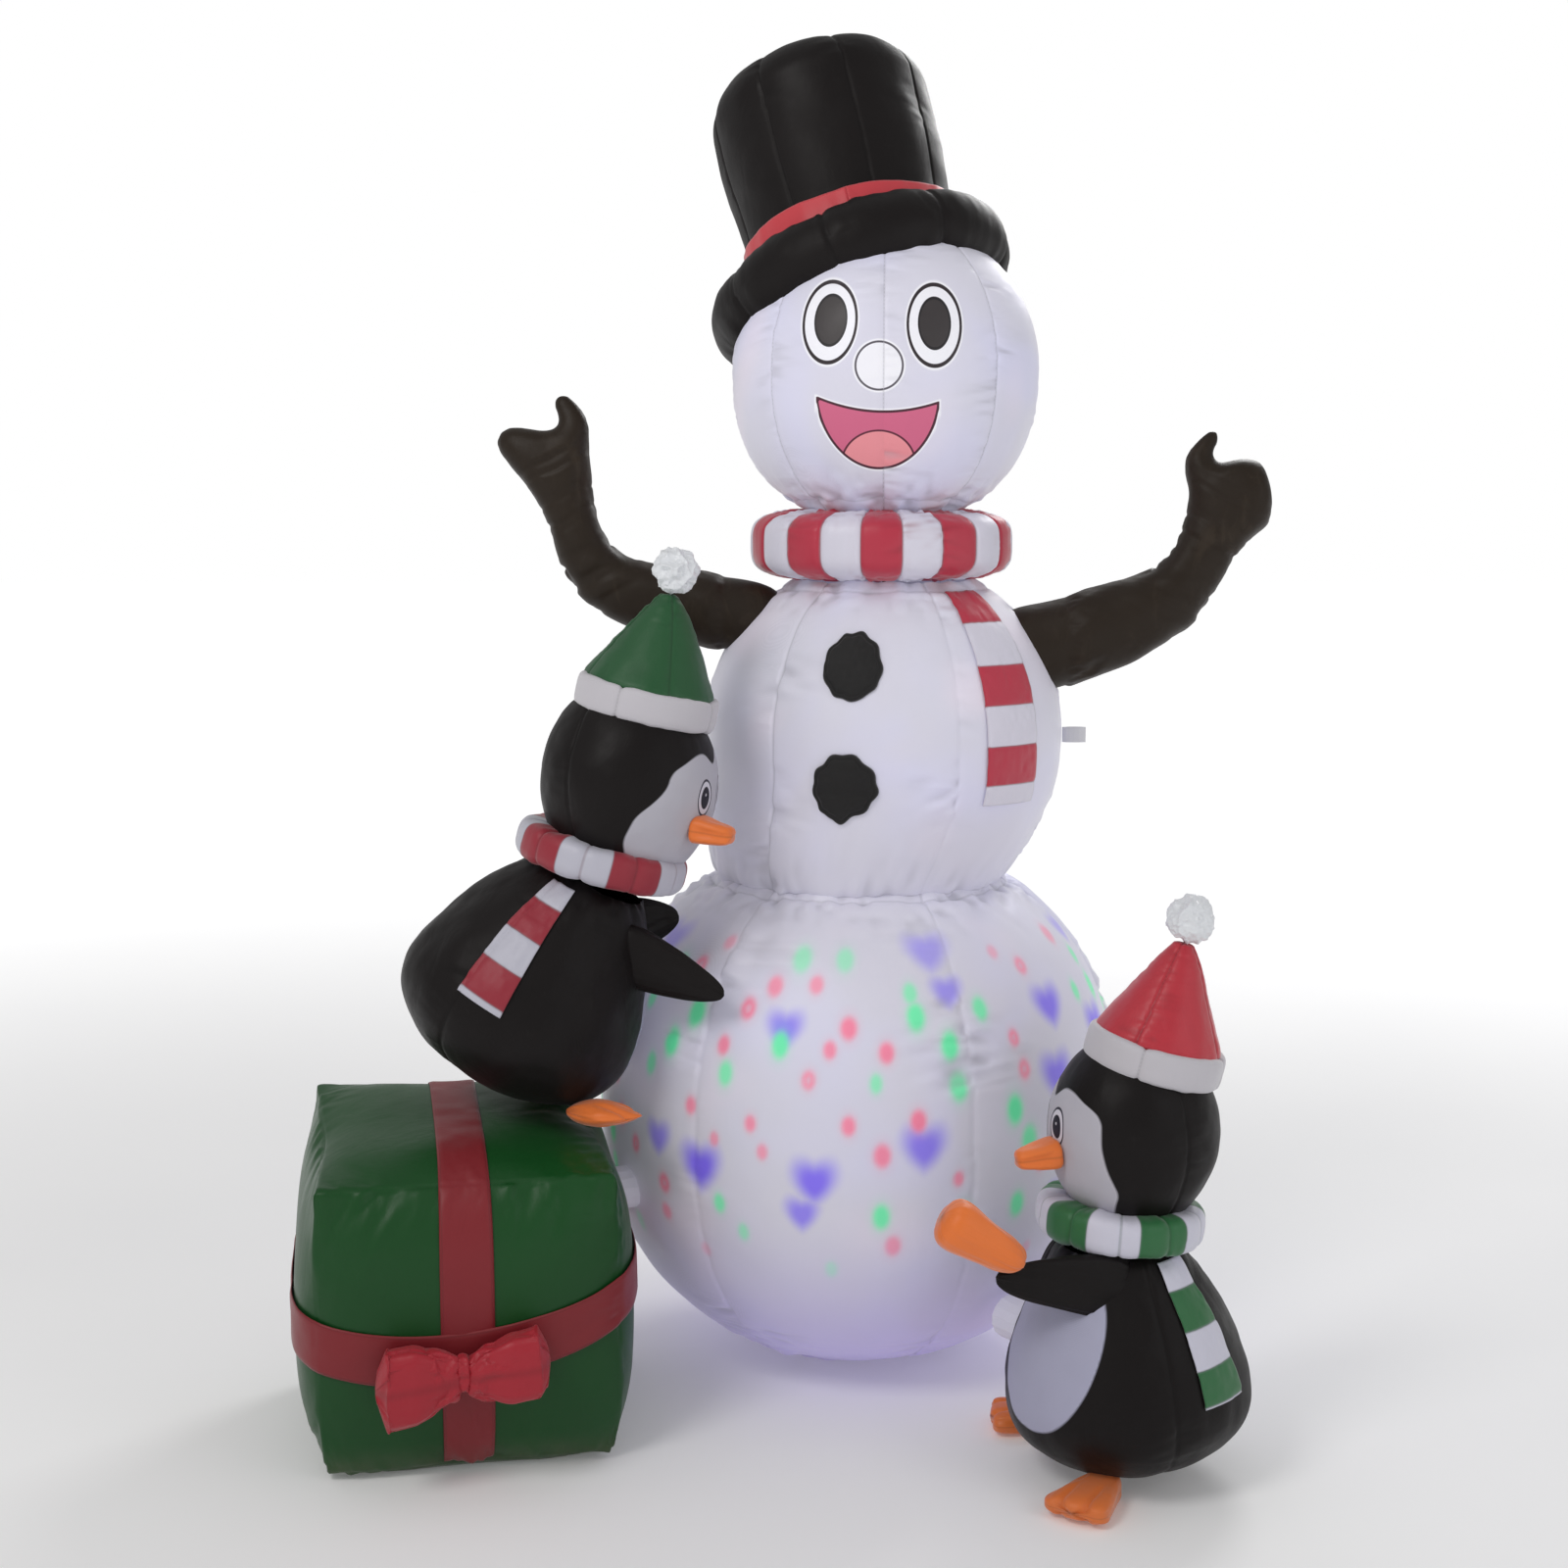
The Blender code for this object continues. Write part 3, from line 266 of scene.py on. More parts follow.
# ---- materials ----
class Shader:
    """A Principled material with a few short ways to add nodes."""

    def __init__(self, name, **constants):
        self.material = bpy.data.materials.new(name)
        self.material.use_nodes = True
        self.nodes = self.material.node_tree.nodes
        self.links = self.material.node_tree.links
        self.surface = self.nodes["Principled BSDF"]
        for key, value in constants.items():
            self.surface.inputs[key.replace("_", " ")].default_value = value

    def put(self, kind, inputs=None, out=0, **settings):
        node = self.nodes.new("ShaderNode" + kind)
        for key, value in settings.items():
            setattr(node, key, value)
        for key, value in (inputs or {}).items():
            if isinstance(value, bpy.types.NodeSocket):
                self.links.new(value, node.inputs[key])
            else:
                node.inputs[key].default_value = value
        return node.outputs[out]

    def set(self, key, socket):
        self.links.new(socket, self.surface.inputs[key])

    def maths(self, operation, a, b=0.0):
        return self.put("Math", {0: a, 1: b}, operation=operation)

    def between(self, value, low, high, start=0.0, end=1.0):
        """Runs from start to end as value goes from low to high."""
        return self.put("MapRange", {"Value": value, "From Min": low, "From Max": high,
                                     "To Min": start, "To Max": end}, interpolation_type="SMOOTHSTEP")

    def mix(self, factor, a, b, blend="MIX"):
        node = self.nodes.new("ShaderNodeMix")
        node.data_type = "RGBA"
        node.blend_type = blend
        node.clamp_factor = True
        for slot, value in ((0, factor), (6, a), (7, b)):
            if isinstance(value, bpy.types.NodeSocket):
                self.links.new(value, node.inputs[slot])
            elif slot == 0:
                node.inputs[slot].default_value = value
            else:
                node.inputs[slot].default_value = (*value[:3], 1.0)
        return node.outputs[2]

    def field(self, name):
        return self.put("Attribute", out=2, attribute_name=name)

    def place(self):
        return self.put("TexCoord", out=3)

    def noise(self, scale, detail=3.0, distortion=0.0, rough=0.5, stretch=(1, 1, 1)):
        where = self.put("Mapping", {"Vector": self.place(), "Scale": stretch})
        return self.put("TexNoise", {"Vector": where, "Scale": scale, "Detail": detail,
                                     "Roughness": rough, "Distortion": distortion})

    def bump(self, height, distance, strength=1.0, below=None):
        inputs = {"Height": height, "Distance": distance, "Strength": strength}
        if below is not None:
            inputs["Normal"] = below
        return self.put("Bump", inputs)


def tinted(colour, factor):
    return tuple(min(1.0, c * factor) for c in colour)


# WHITE is white cloth with a lavender tint that is painted light from the lamp inside.
WHITE = (0.69, 0.68, 0.78)
RED = (0.47, 0.030, 0.060)
BLACK = (0.0075, 0.0056, 0.0056)


def weave(shade, pitch=0.0011):
    """Crossed threads of a plain nylon weave, 0 to 1, from the object's coordinates."""
    parts = shade.put("SeparateXYZ", {"Vector": shade.place()})
    node = parts.node
    turn = 2 * math.pi / pitch
    sideways = shade.maths("ADD", node.outputs[0], node.outputs[1])
    warp = shade.maths("SINE", shade.maths("MULTIPLY", sideways, turn))
    weft = shade.maths("SINE", shade.maths("MULTIPLY", node.outputs[2], turn))
    return shade.between(shade.maths("MULTIPLY", warp, weft), -1.0, 1.0)


def nylon(name, colour, rough=0.46, sheen=0.30, variety=0.14, crumple=0.0016, glow=0.0, paint=None,
          seam_dark=0.45, grime=0.5, scuff=0.0, coat=0.0, crease_shade_amount=0.5, shine=0.40):
    """Coated nylon: colour variation, weave, soft crumples, painted shade in its creases, darker stitched
    seams, floor grime and, with glow, painted light given off as emission.
    """
    shade = Shader(name, Roughness=rough, Sheen_Weight=sheen, Sheen_Roughness=0.45, Coat_Weight=coat,
                   Coat_Roughness=0.30, Specular_IOR_Level=shine)
    cloudy = shade.noise(2.6, 4.0, 0.6)
    base = shade.mix(cloudy, tinted(colour, 1 - variety), tinted(colour, 1 + variety))
    if paint:
        base = paint(shade, base)
    thread = weave(shade)
    base = shade.mix(shade.maths("MULTIPLY", thread, 0.10), base, tinted(colour, 0.55), "MULTIPLY")
    # Painted shade: the cloth is darker where the crease field sinks in.
    painted_crease_shade = shade.between(shade.field("crease"), -0.30, 0.02, crease_shade_amount, 0.0)
    base = shade.mix(painted_crease_shade, base, tinted(colour, 0.52))
    seam = shade.field("seam")
    stitch = shade.put("SeparateXYZ", {"Vector": shade.place()}).node
    run = shade.maths("ADD", stitch.outputs[2], shade.maths("MULTIPLY", stitch.outputs[0], 0.6))
    dash = shade.between(shade.maths("SINE", shade.maths("MULTIPLY", run, 2 * math.pi / 0.007)), -0.1, 0.3)
    line = shade.maths("MULTIPLY", shade.between(seam, 0.25, 0.9), seam_dark)
    base = shade.mix(line, base, tinted(colour, 0.35))
    base = shade.mix(shade.maths("MULTIPLY",
                                 shade.maths("MULTIPLY", shade.between(seam, 0.80, 0.95), dash), 0.4),
                     base, tinted(colour, 1.25))
    if scuff:
        worn = shade.between(shade.noise(38.0, 6.0, 0.4, 0.7), 0.60, 0.80)
        base = shade.mix(shade.maths("MULTIPLY", worn, scuff), base, (0.42, 0.40, 0.38))
    if grime:
        low = shade.between(stitch.outputs[2], 0.0, 0.075, 1.0, 0.0)
        dirt = shade.maths("MULTIPLY", shade.maths("MULTIPLY", low, shade.noise(26.0, 5.0)), grime)
        base = shade.mix(dirt, base, (0.20, 0.16, 0.12))
    shade.set("Base Color", base)
    uneven = shade.between(shade.noise(7.0, 4.0, 0.3), 0.2, 0.8, rough - 0.07, rough + 0.09)
    shade.set("Roughness", uneven)
    creases = shade.noise(13.0, 3.0, 1.6, 0.55, (1.0, 1.0, 0.55))
    hairline = shade.noise(46.0, 2.0, 2.2, 0.5)
    normal = shade.bump(creases, crumple * 1.5, 0.42)
    normal = shade.bump(hairline, crumple * 0.25, 0.40, normal)
    normal = shade.bump(thread, 0.00012, 0.35, normal)
    shade.set("Normal", normal)
    # Painted light: with glow the cloth gives off its own colour as emission, though it is no lamp.
    if glow:
        shade.surface.inputs["Emission Strength"].default_value = glow
        shade.set("Emission Color", base)
    return shade


def hard(name, colour, rough, metallic=0.0, grain=180.0, depth=0.00015, **more):
    """Moulded plastic, rubber or plated metal with a fine grain and light wear."""
    shade = Shader(name, Roughness=rough, Metallic=metallic, **more)
    mottle = shade.noise(grain, 5.0, 0.2, 0.6)
    broad = shade.noise(grain / 9.0, 3.0, 0.5)
    shade.set("Base Color", shade.mix(broad, tinted(colour, 0.80), tinted(colour, 1.20)))
    shade.set("Roughness", shade.between(mottle, 0.25, 0.8, max(0.05, rough - 0.10), rough + 0.14))
    shade.set("Normal", shade.bump(mottle, depth, 0.6))
    return shade.material


# ---- the snowman's chambers ----
def axis_x(z):
    t = np.clip((z - 0.86) / 0.26, 0.0, 1.0)
    return LEAN * t * t * (3 - 2 * t)


def base_profile():
    z = BASE_CENTRE_Z - BASE_CENTRE_Z * np.cos(np.linspace(0, math.pi * 0.9, 400))
    z = z[z < WAIST_Z + TUCK]
    rise = z - BASE_CENTRE_Z
    power = np.where(rise > 0, 2.3, 2.2)
    return np.stack([puff(BASE_RADIUS, BASE_RADIUS, power, rise), z], axis=-1)


def torso_profile():
    z = np.linspace(WAIST_Z - TUCK, NECK_Z + TUCK, 300)
    rise = z - TORSO_CENTRE_Z
    reach = np.where(rise > 0, TORSO_RADIUS, TORSO_REACH_DOWN)
    return np.stack([puff(TORSO_RADIUS, reach, 2.0, rise), z], axis=-1)


def head_profile():
    z = np.linspace(NECK_Z + COLLAR_HEIGHT - 2 * TUCK, HEAD_CENTRE_Z + 0.266, 300)
    rise = z - HEAD_CENTRE_Z
    return np.stack([puff(HEAD_RADIUS, HEAD_RADIUS, np.where(rise > 0, 2.0, 2.3), rise), z], axis=-1)


def spread(first, count):
    return [math.radians(first + k * 360.0 / count) for k in range(count)]


BASE = Chamber(base_profile(), 270, spread(-37.5, 6), 3.0, low=0.010, high=0.014, fold=0.020, end_pull=0.005,
               pitch=0.018, pucker=0.0270, reach=0.060, high_z=WAIST_Z)
TORSO = Chamber(torso_profile(), 170, spread(-38.5, 6), 9.0, low=0.013, high=0.008, fold=0.019,
                end_pull=0.005, pitch=0.018, pucker=0.0240, reach=0.048, axis=axis_x, low_z=WAIST_Z,
                high_z=NECK_Z)
HEAD = Chamber(head_profile(), 190, spread(-48.0, 8), 15.0, low=0.012, high=0.0, fold=0.018,
               pucker=0.0100, reach=0.038, sag=0.0028, axis=lambda z: LEAN + 0.0 * z,
               end_pull=0.002, low_z=NECK_Z + COLLAR_HEIGHT)

# Rows of light spots thrown by the turning lamp: height, how many go round, and how strong.
SPOT_ROWS = ((0.300, 12, 0.5), (0.345, 18, 0.8), (0.395, 22, 1.0), (0.450, 24, 1.0), (0.505, 22, 0.9),
             (0.555, 26, 1.0), (0.615, 22, 0.9), (0.668, 26, 1.0), (0.722, 24, 0.95), (0.775, 22, 0.85),
             (0.825, 18, 0.6))
SPOT_SHAPES = {"green": (0.0150, 0.0240), "pink": (0.0135, 0.0190), "violet": (0.0330, 0.0310)}


def light_spots(theta, s, r):
    """How strongly each colour of light falls on the base ball's cloth."""
    fields = {colour: np.zeros(theta.shape) for colour in SPOT_SHAPES}
    for j, (z, count, strength) in enumerate(SPOT_ROWS):
        for i in range(count):
            pick, jog, lift, scale = (float(hashed(i * 1.7 + k, j * 2.3, 5.0)) for k in range(4))
            if pick > 0.80 and j % 2:
                continue
            colour = "green" if pick < 0.36 else "pink" if pick < 0.70 else "violet"
            angle = 2 * math.pi * (i + 0.5 * (j % 2) + 0.62 * (jog - 0.5)) / count
            height = z + 0.026 * (lift - 0.5)
            along = float(np.interp(height, BASE.z, BASE.s))
            wide, tall = (size * (0.72 + 0.50 * scale) for size in SPOT_SHAPES[colour])
            rows = np.nonzero(np.abs(s[:, 0] - along) < 2.2 * tall)[0]
            part = slice(rows[0], rows[-1] + 1)
            across = wrapped(theta[part] - angle) * r[part]
            q = np.hypot(across / wide, (s[part] - along) / tall)
            spot = 0.85 * smooth_step(1.30, 0.45, q) + 0.15 * smooth_step(2.1, 0.6, q)
            if colour == "violet":
                lobes = np.abs(across) / wide
                q = np.hypot(across / wide,
                             (s[part] - along + 0.012 - 0.55 * tall * np.minimum(1, lobes)) / tall)
                spot = 0.92 * smooth_step(1.5, 0.30, q)
            elif colour == "pink" and lift > 0.75:
                spot = spot * (1 - 0.40 * smooth_step(0.55, 0.15, q))
            spot = spot * strength * (0.75 + 0.25 * scale)
            fields[colour][part] = np.maximum(fields[colour][part], spot)
    return fields


def glow_paint(shade, base):
    """Painted lavender light inside the cloth, with faint painted pools of pinkish light."""
    tone = shade.noise(3.1, 2.0, 0.4)
    base = shade.mix(shade.between(tone, 0.45, 0.75, 0.0, 0.5), base, (0.70, 0.70, 0.95))
    other = shade.noise(4.3, 1.0, 0.2)
    return shade.mix(shade.between(other, 0.55, 0.80, 0.0, 0.35), base, (0.93, 0.80, 0.90))


# Painted light: spots of coloured light thrown by the turning lamp, over the painted glow.
def painted_spot_light(shade, base):
    base = glow_paint(shade, base)
    for colour, light in (("violet", (0.19, 0.11, 0.98)), ("green", (0.14, 0.96, 0.45)),
                          ("pink", (1.0, 0.23, 0.37))):
        amount = shade.maths("MULTIPLY", shade.field(colour), 1.0)
        base = shade.mix(amount, base, light)
    # Painted light: a violet glow, stronger towards the bottom of the ball.
    height = shade.put("SeparateXYZ", {"Vector": shade.place()}).node.outputs[2]
    low = shade.between(height, 0.02, 0.42, 0.62, 0.0)
    return shade.mix(low, base, (0.56, 0.46, 0.96))


def opened(piece, axis, radius):
    """Cuts the round mouth that the blower blows through: faces behind, near an axis along Y."""
    bm = bmesh.new()
    bm.from_mesh(piece.data)
    mouth = [face for face in bm.faces if face.calc_center_median().y > 0
             and math.hypot(face.calc_center_median().x - axis[0],
                            face.calc_center_median().z - axis[1]) < radius]
    bmesh.ops.delete(bm, geom=mouth, context="FACES")
    bm.to_mesh(piece.data)
    bm.free()


def make_balls():
    lit = nylon("white_nylon_lit", WHITE, 0.42, 0.2, 0.05, 0.0012, 0.10, glow_paint, 0.35, 0.0).material
    spotted = nylon("white_nylon_painted_spot_light", WHITE, 0.42, 0.2, 0.05, 0.0012, 0.12, painted_spot_light, 0.40,
                    0.35).material
    points, theta, s, seam, r = BASE.build(600)
    points[..., 2] = np.maximum(points[..., 2], 0.0005)
    fields = light_spots(theta, s, r)
    fields["seam"], fields["crease"] = seam, BASE.crease
    ball = grid("base_ball_cloth", points, spotted, True, True, False, fields)
    opened(ball, BLOWER_AXIS, 0.044)
    place_piece(ball, ["base_ball"])
    points, theta, s, seam, r = TORSO.build(460)
    torso = grid("torso_ball_cloth", points, lit, True, False, False,
                 {"seam": seam, "crease": TORSO.crease})
    place_piece(torso, ["torso_ball"])


# ---- the head and its printed face ----
EYES = ((-0.0950, 0.0860, 0.0455, 0.0690, 6.0), (0.0840, 0.0800, 0.0455, 0.0690, -2.0))
PUPILS = ((-0.0935, 0.0890, 0.0270, 0.0430, 6.0), (0.0842, 0.0830, 0.0270, 0.0430, -2.0))
NOSE = (-0.0102, 0.0120, 0.0405)
MOUTH_CENTRE_U = -0.0125
MOUTH_HALF = 0.104
MOUTH_SKEW = -0.042
MOUTH_TOP = -0.0655
MOUTH_CORNER_RISE = 0.0190
MOUTH_BOTTOM = -0.1635


def oval(u, v, centre_u, centre_v, wide, tall, lean):
    """About 1 on an oval's outline, less inside."""
    turn = math.radians(lean)
    du, dv = u - centre_u, v - centre_v
    a = du * math.cos(turn) - dv * math.sin(turn)
    b = du * math.sin(turn) + dv * math.cos(turn)
    q = np.hypot(a / wide, b / tall)
    return (q - 1) * wide


def face_plane(points):
    """(right, up, toward the viewer) of points, from the head's centre as seen from the front."""
    toward = Vector((-0.0439, -0.9975, -0.0549)).normalized()
    right = Vector((0.99903, -0.0440, 0.0))
    up = -right.cross(toward)
    away = points - np.array([LEAN, 0.0, HEAD_CENTRE_Z])
    if up.z < 0:
        up = -up
    return away @ np.array(right), away @ np.array(up), away @ np.array(toward)


def face_fields(points):
    """Signed distances, negative inside, of what is printed on the head."""
    u, v, toward = face_plane(points)
    far = np.where(toward > 0, 0.0, 1.0)
    fields = {}
    fields["eye"] = np.minimum(*[oval(u, v, *eye) for eye in EYES]) + far
    fields["pupil"] = np.minimum(*[oval(u, v, *eye) for eye in PUPILS]) + far
    fields["nose"] = np.hypot(u - NOSE[0], v - NOSE[1]) - NOSE[2] + far
    along = (u - MOUTH_CENTRE_U) / MOUTH_HALF
    lean = MOUTH_SKEW * (u - MOUTH_CENTRE_U)
    top = MOUTH_TOP + MOUTH_CORNER_RISE * along * along + lean
    bowl = np.sqrt(np.clip(1 - np.abs(along) ** 2.0, 0.0, 1.0))
    depth = MOUTH_TOP + MOUTH_CORNER_RISE - MOUTH_BOTTOM
    bottom = MOUTH_TOP + MOUTH_CORNER_RISE - depth * bowl ** 1.15 + lean
    slope = 1.0 / np.sqrt(1.0 + (depth / MOUTH_HALF * along / np.maximum(bowl, 0.25)) ** 2)
    outside = (np.abs(along) - 1) * MOUTH_HALF
    fields["mouth"] = np.maximum(np.maximum(v - top, (bottom - v) * slope), outside) + far
    fields["tongue"] = oval(u, v, MOUTH_CENTRE_U + 0.002, -0.156, 0.064, 0.058, 0.0) + far
    return fields


def face_paint(shade, base):
    base = glow_paint(shade, base)
    ink = (0.020, 0.012, 0.016)

    def edge(value, low, high):
        return shade.between(value, low, high, 1.0, 0.0)

    def line(value, half):
        return edge(shade.maths("ABSOLUTE", value), half, half + 0.0008)
    eye, pupil = shade.field("eye"), shade.field("pupil")
    nose, mouth, tongue = shade.field("nose"), shade.field("mouth"), shade.field("tongue")
    for value in (eye, nose, mouth):
        base = shade.mix(shade.maths("MULTIPLY", edge(value, 0.0035, 0.0065), 0.75), base, (0.96, 0.96, 1.0))
    base = shade.mix(line(eye, 0.0019), base, ink)
    base = shade.mix(edge(pupil, 0.0, 0.0008), base, (0.035, 0.029, 0.030))
    base = shade.mix(line(pupil, 0.0012), base, (0.008, 0.006, 0.008))
    base = shade.mix(line(nose, 0.0014), base, (0.10, 0.09, 0.11))
    base = shade.mix(edge(mouth, 0.0, 0.0008), base, (0.62, 0.125, 0.235))
    inside = shade.maths("MULTIPLY", edge(mouth, 0.0, 0.0008), edge(tongue, 0.0, 0.0008))
    base = shade.mix(inside, base, (0.80, 0.275, 0.31))
    rim = shade.maths("MULTIPLY", edge(mouth, 0.0, 0.0008), line(tongue, 0.0014))
    base = shade.mix(rim, base, (0.10, 0.010, 0.030))
    return shade.mix(line(mouth, 0.0018), base, (0.06, 0.008, 0.022))


def hat_frame():
    turn = Matrix.Rotation(-HAT_LEAN_LEFT, 4, "Y") @ Matrix.Rotation(-HAT_LEAN_BACK, 4, "X")
    head = Matrix.Translation((LEAN, 0, HEAD_CENTRE_Z))
    return head @ turn @ Matrix.Translation((0, 0, HAT_RISE))


def trimmed(piece, place, top):
    """Drops the faces above a height in a local frame."""
    back = place.inverted()
    bm = bmesh.new()
    bm.from_mesh(piece.data)
    high = [face for face in bm.faces if min((back @ vert.co).z for vert in face.verts) > top]
    bmesh.ops.delete(bm, geom=high, context="FACES")
    bm.to_mesh(piece.data)
    bm.free()
    return piece


def make_head():
    printed = nylon("white_nylon_face", WHITE, 0.42, 0.2, 0.05, 0.0011, 0.10, face_paint, 0.35, 0.0).material
    points, _, _, seam, _ = HEAD.build(600)
    fields = face_fields(points)
    fields["seam"] = seam * np.where(fields["mouth"] < 0.002, 0.35, 1.0)
    fields["crease"] = HEAD.crease
    head = grid("head_ball_cloth", points, printed, True, False, False, fields)
    trimmed(head, hat_frame(), 0.012)
    place_piece(head, ["head_ball"])


# ---- stripes ----
def stripe_paint(other):
    """Two colours that meet where the field "stripe" changes sign."""
    def paint(shade, base):
        value = shade.field("stripe")
        base = shade.mix(shade.between(value, -0.0006, 0.0006), base, other)
        edge = shade.between(shade.maths("ABSOLUTE", value), 0.0010, 0.0030, 0.30, 0.0)
        return shade.mix(edge, base, tinted(other, 0.45))
    return paint


def ring_stripes(theta, r, edge, count):
    """Signed distance to the nearest stripe edge round a ring, and how near an edge is."""
    turn = (theta - math.radians(edge)) / (2 * math.pi / count)
    part = turn - np.floor(turn)
    near = np.minimum(part, 1 - part) * (2 * math.pi / count) * r
    return np.where(np.floor(turn) % 2 == 0, -near, near), near


STRIPED_RED = nylon("red_white_nylon", RED, 0.40, 0.25, 0.10, 0.0012, 0.05, stripe_paint(WHITE), 0.3,
                    0.0).material
STRIPED_GREEN = nylon("green_white_nylon", (0.022, 0.145, 0.045), 0.42, 0.25, 0.10, 0.0012, 0.0,
                      stripe_paint((0.66, 0.65, 0.76)), 0.3, 0.3).material
# Its white stripes are painted greyer than the other whites: painted shade.
STRIPED_DARK = nylon("dark_red_white_nylon", (0.30, 0.018, 0.034), 0.42, 0.25, 0.10, 0.0012, 0.0,
                     stripe_paint((0.52, 0.52, 0.60)), 0.3, 0.0).material


def make_collar():
    middle = NECK_Z + COLLAR_HEIGHT / 2
    half = 0.52 * COLLAR_HEIGHT
    z = middle + half * np.sin(np.linspace(-1.40, 1.40, 200))
    profile = np.stack([puff(1.025 * COLLAR_RADIUS, half, 3.6, z - middle), z], axis=-1)
    roll = Chamber(profile, 90, spread(-11.4, 20), 27.0, low=0.010, high=0.010, fold=0.013, groove=0.0030,
                   sag=0.0055, pucker=0.0060, reach=0.022, pitch=0.012, waves=0.002, end_pull=0.0,
                   low_z=middle - 0.93 * half, high_z=middle + 0.93 * half,
                   axis=lambda height: LEAN - 0.005 + 0.0 * height)
    points, theta, _, seam, r = roll.build(480)
    stripe, _ = ring_stripes(theta, r, -11.4, 20)
    collar = grid("scarf_collar_cloth", points, STRIPED_RED, True, False, False,
                  {"seam": seam, "stripe": stripe, "crease": roll.crease})
    place_piece(back_side(collar), ["scarf_collar"])


def bands(share, edges, length):
    """Signed distance to the nearest edge of crosswise bands; the first band counts as negative."""
    nearest = np.min([np.abs(share - edge) for edge in edges], axis=0) * length
    passed = np.sum([share > edge for edge in edges], axis=0)
    return np.where(passed % 2 == 0, -nearest, nearest)


def flat_piece(name, node, points, material, fields=None, wall=0.0016):
    """A flat sewn piece of cloth: a grid given its thickness, riding on the root body in place of its CAD
    node.
    """
    piece = grid(name, points, material, False, False, False, fields)
    shell = piece.modifiers.new("Cloth", "SOLIDIFY")
    shell.thickness = wall
    shell.offset = 1.0
    place_piece(piece, [node])
    return piece


def make_scarf_tail():
    top, bottom, azimuth, half = 1.438, 1.068, math.radians(41.0), 0.062
    across, down = np.meshgrid(np.linspace(-1, 1, 40), np.linspace(0, 1, 130))
    edges = (0.150, 0.345, 0.530, 0.720, 0.905)
    stripe = bands(down, edges, top - bottom)
    near = np.abs(stripe)
    z = top - (top - bottom) * down
    theta = azimuth - math.radians(1.0) * (0.5 - down) + across * half / TORSO_RADIUS
    quilt = 0.0016 * (noise(across * 6, down * 24, 3.0) - 0.5)
    lift = 0.0042 + quilt - 0.0018 * np.exp(-near / 0.004) - 0.0012 * smooth_step(0.86, 1.0, np.abs(across))
    points = TORSO.at(theta, z, lift)[::-1]
    seam = np.exp(-(near / 0.0016) ** 2) + smooth_step(0.93, 0.96, np.abs(across)) * 0.5
    fields = {"stripe": stripe[::-1], "seam": seam[::-1]}
    flat_piece("scarf_tail_cloth", "scarf_tail", points, STRIPED_RED,
               fields)


# ---- hat ----
BLACK_NYLON = nylon("black_nylon", BLACK, 0.47, 0.03, 0.30, 0.0016, 0.0, None, 0.35, 0.0, 0.015,
                    shine=0.16).material


def make_hat():
    place = hat_frame()
    low = 0.0
    corner = 0.085
    profile = [(CROWN_RADIUS - 0.004, low), (CROWN_RADIUS - 0.004, 0.030), (CROWN_RADIUS - 0.002, 0.06),
               (CROWN_RADIUS - 0.001, 0.137),
               (CROWN_RADIUS + 0.005, 0.19), (CROWN_RADIUS + 0.010, 0.247)]
    for i in range(0, 17):
        turn = math.radians(90 * i / 16)
        profile.append((CROWN_RADIUS + 0.012 - corner * (1 - math.cos(turn)),
                        CROWN_HEIGHT - 0.004 - corner * (1 - math.sin(turn))))
    profile.append((0.004, CROWN_HEIGHT + 0.002))
    crown = Chamber(profile, 190, spread(-30.0, 8), 33.0, low=0.010, pucker=0.0050, reach=0.035, sag=0.0045,
                    groove=0.0022, waves=0.006, wave_size=0.10, pitch=0.016, fold=0.02)
    points, theta, s, seam, _ = crown.build(420)
    edge = np.abs(s - (crown.s[-1] - 0.130))
    ring = np.exp(-(edge / 0.0030) ** 2)
    shade = 1 - 0.018 * np.exp(-(edge / 0.005) ** 2) - 0.010 * np.exp(-edge / 0.04)
    pleat = noise(np.sin(theta) * 9, np.cos(theta) * 9, 41.0) - 0.5
    shade = shade + 0.030 * pleat * np.exp(-edge / 0.030)
    points[..., 0] *= shade
    points[..., 1] *= shade
    hat = grid("hat_crown_cloth", moved(points, place), BLACK_NYLON, True, False, True,
               {"seam": np.maximum(seam, ring), "crease": crown.crease})
    place_piece(hat, ["hat_crown"])
    droop = place @ Matrix.Translation((-0.006, 0, 0.016)) @ Matrix.Rotation(-BRIM_DROOP, 4, "Y")
    brim = roll_ring("hat_brim_cloth", droop, BRIM_RING - 0.006, 1.13 * BRIM_TUBE, 1.22, BLACK_NYLON, 8,
                     43.0,
                     wrinkle=0.008)
    place_piece(brim, ["hat_brim"])
    theta, up = np.meshgrid(np.linspace(0, 2 * math.pi, 361), np.linspace(0, 1, 22))
    z = 0.0525 + 0.0740 * up
    wrinkle = 0.0030 * (noise(np.sin(theta) * 10, np.cos(theta) * 10, 3.0 + up * 1.2) - 0.5)
    reach = CROWN_RADIUS + 0.0052 + 0.0022 * np.sin(math.pi * up) + wrinkle
    points = np.stack([reach * np.sin(theta), -reach * np.cos(theta), z + 0.0015 * np.sin(theta * 7)],
                      axis=-1)
    band_red = nylon("band_nylon", (0.58, 0.045, 0.060), 0.42, 0.3, 0.08, 0.0012, 0.02, None, 0.4,
                     0.0).material
    seam = smooth_step(0.92, 0.97, np.abs(2 * up - 1)) * 0.6
    points = moved(points, place).transpose(1, 0, 2)[::-1]
    flat_piece("hat_band_cloth", "hat_band", points, band_red,
               {"seam": seam.T[::-1]}, 0.0010)


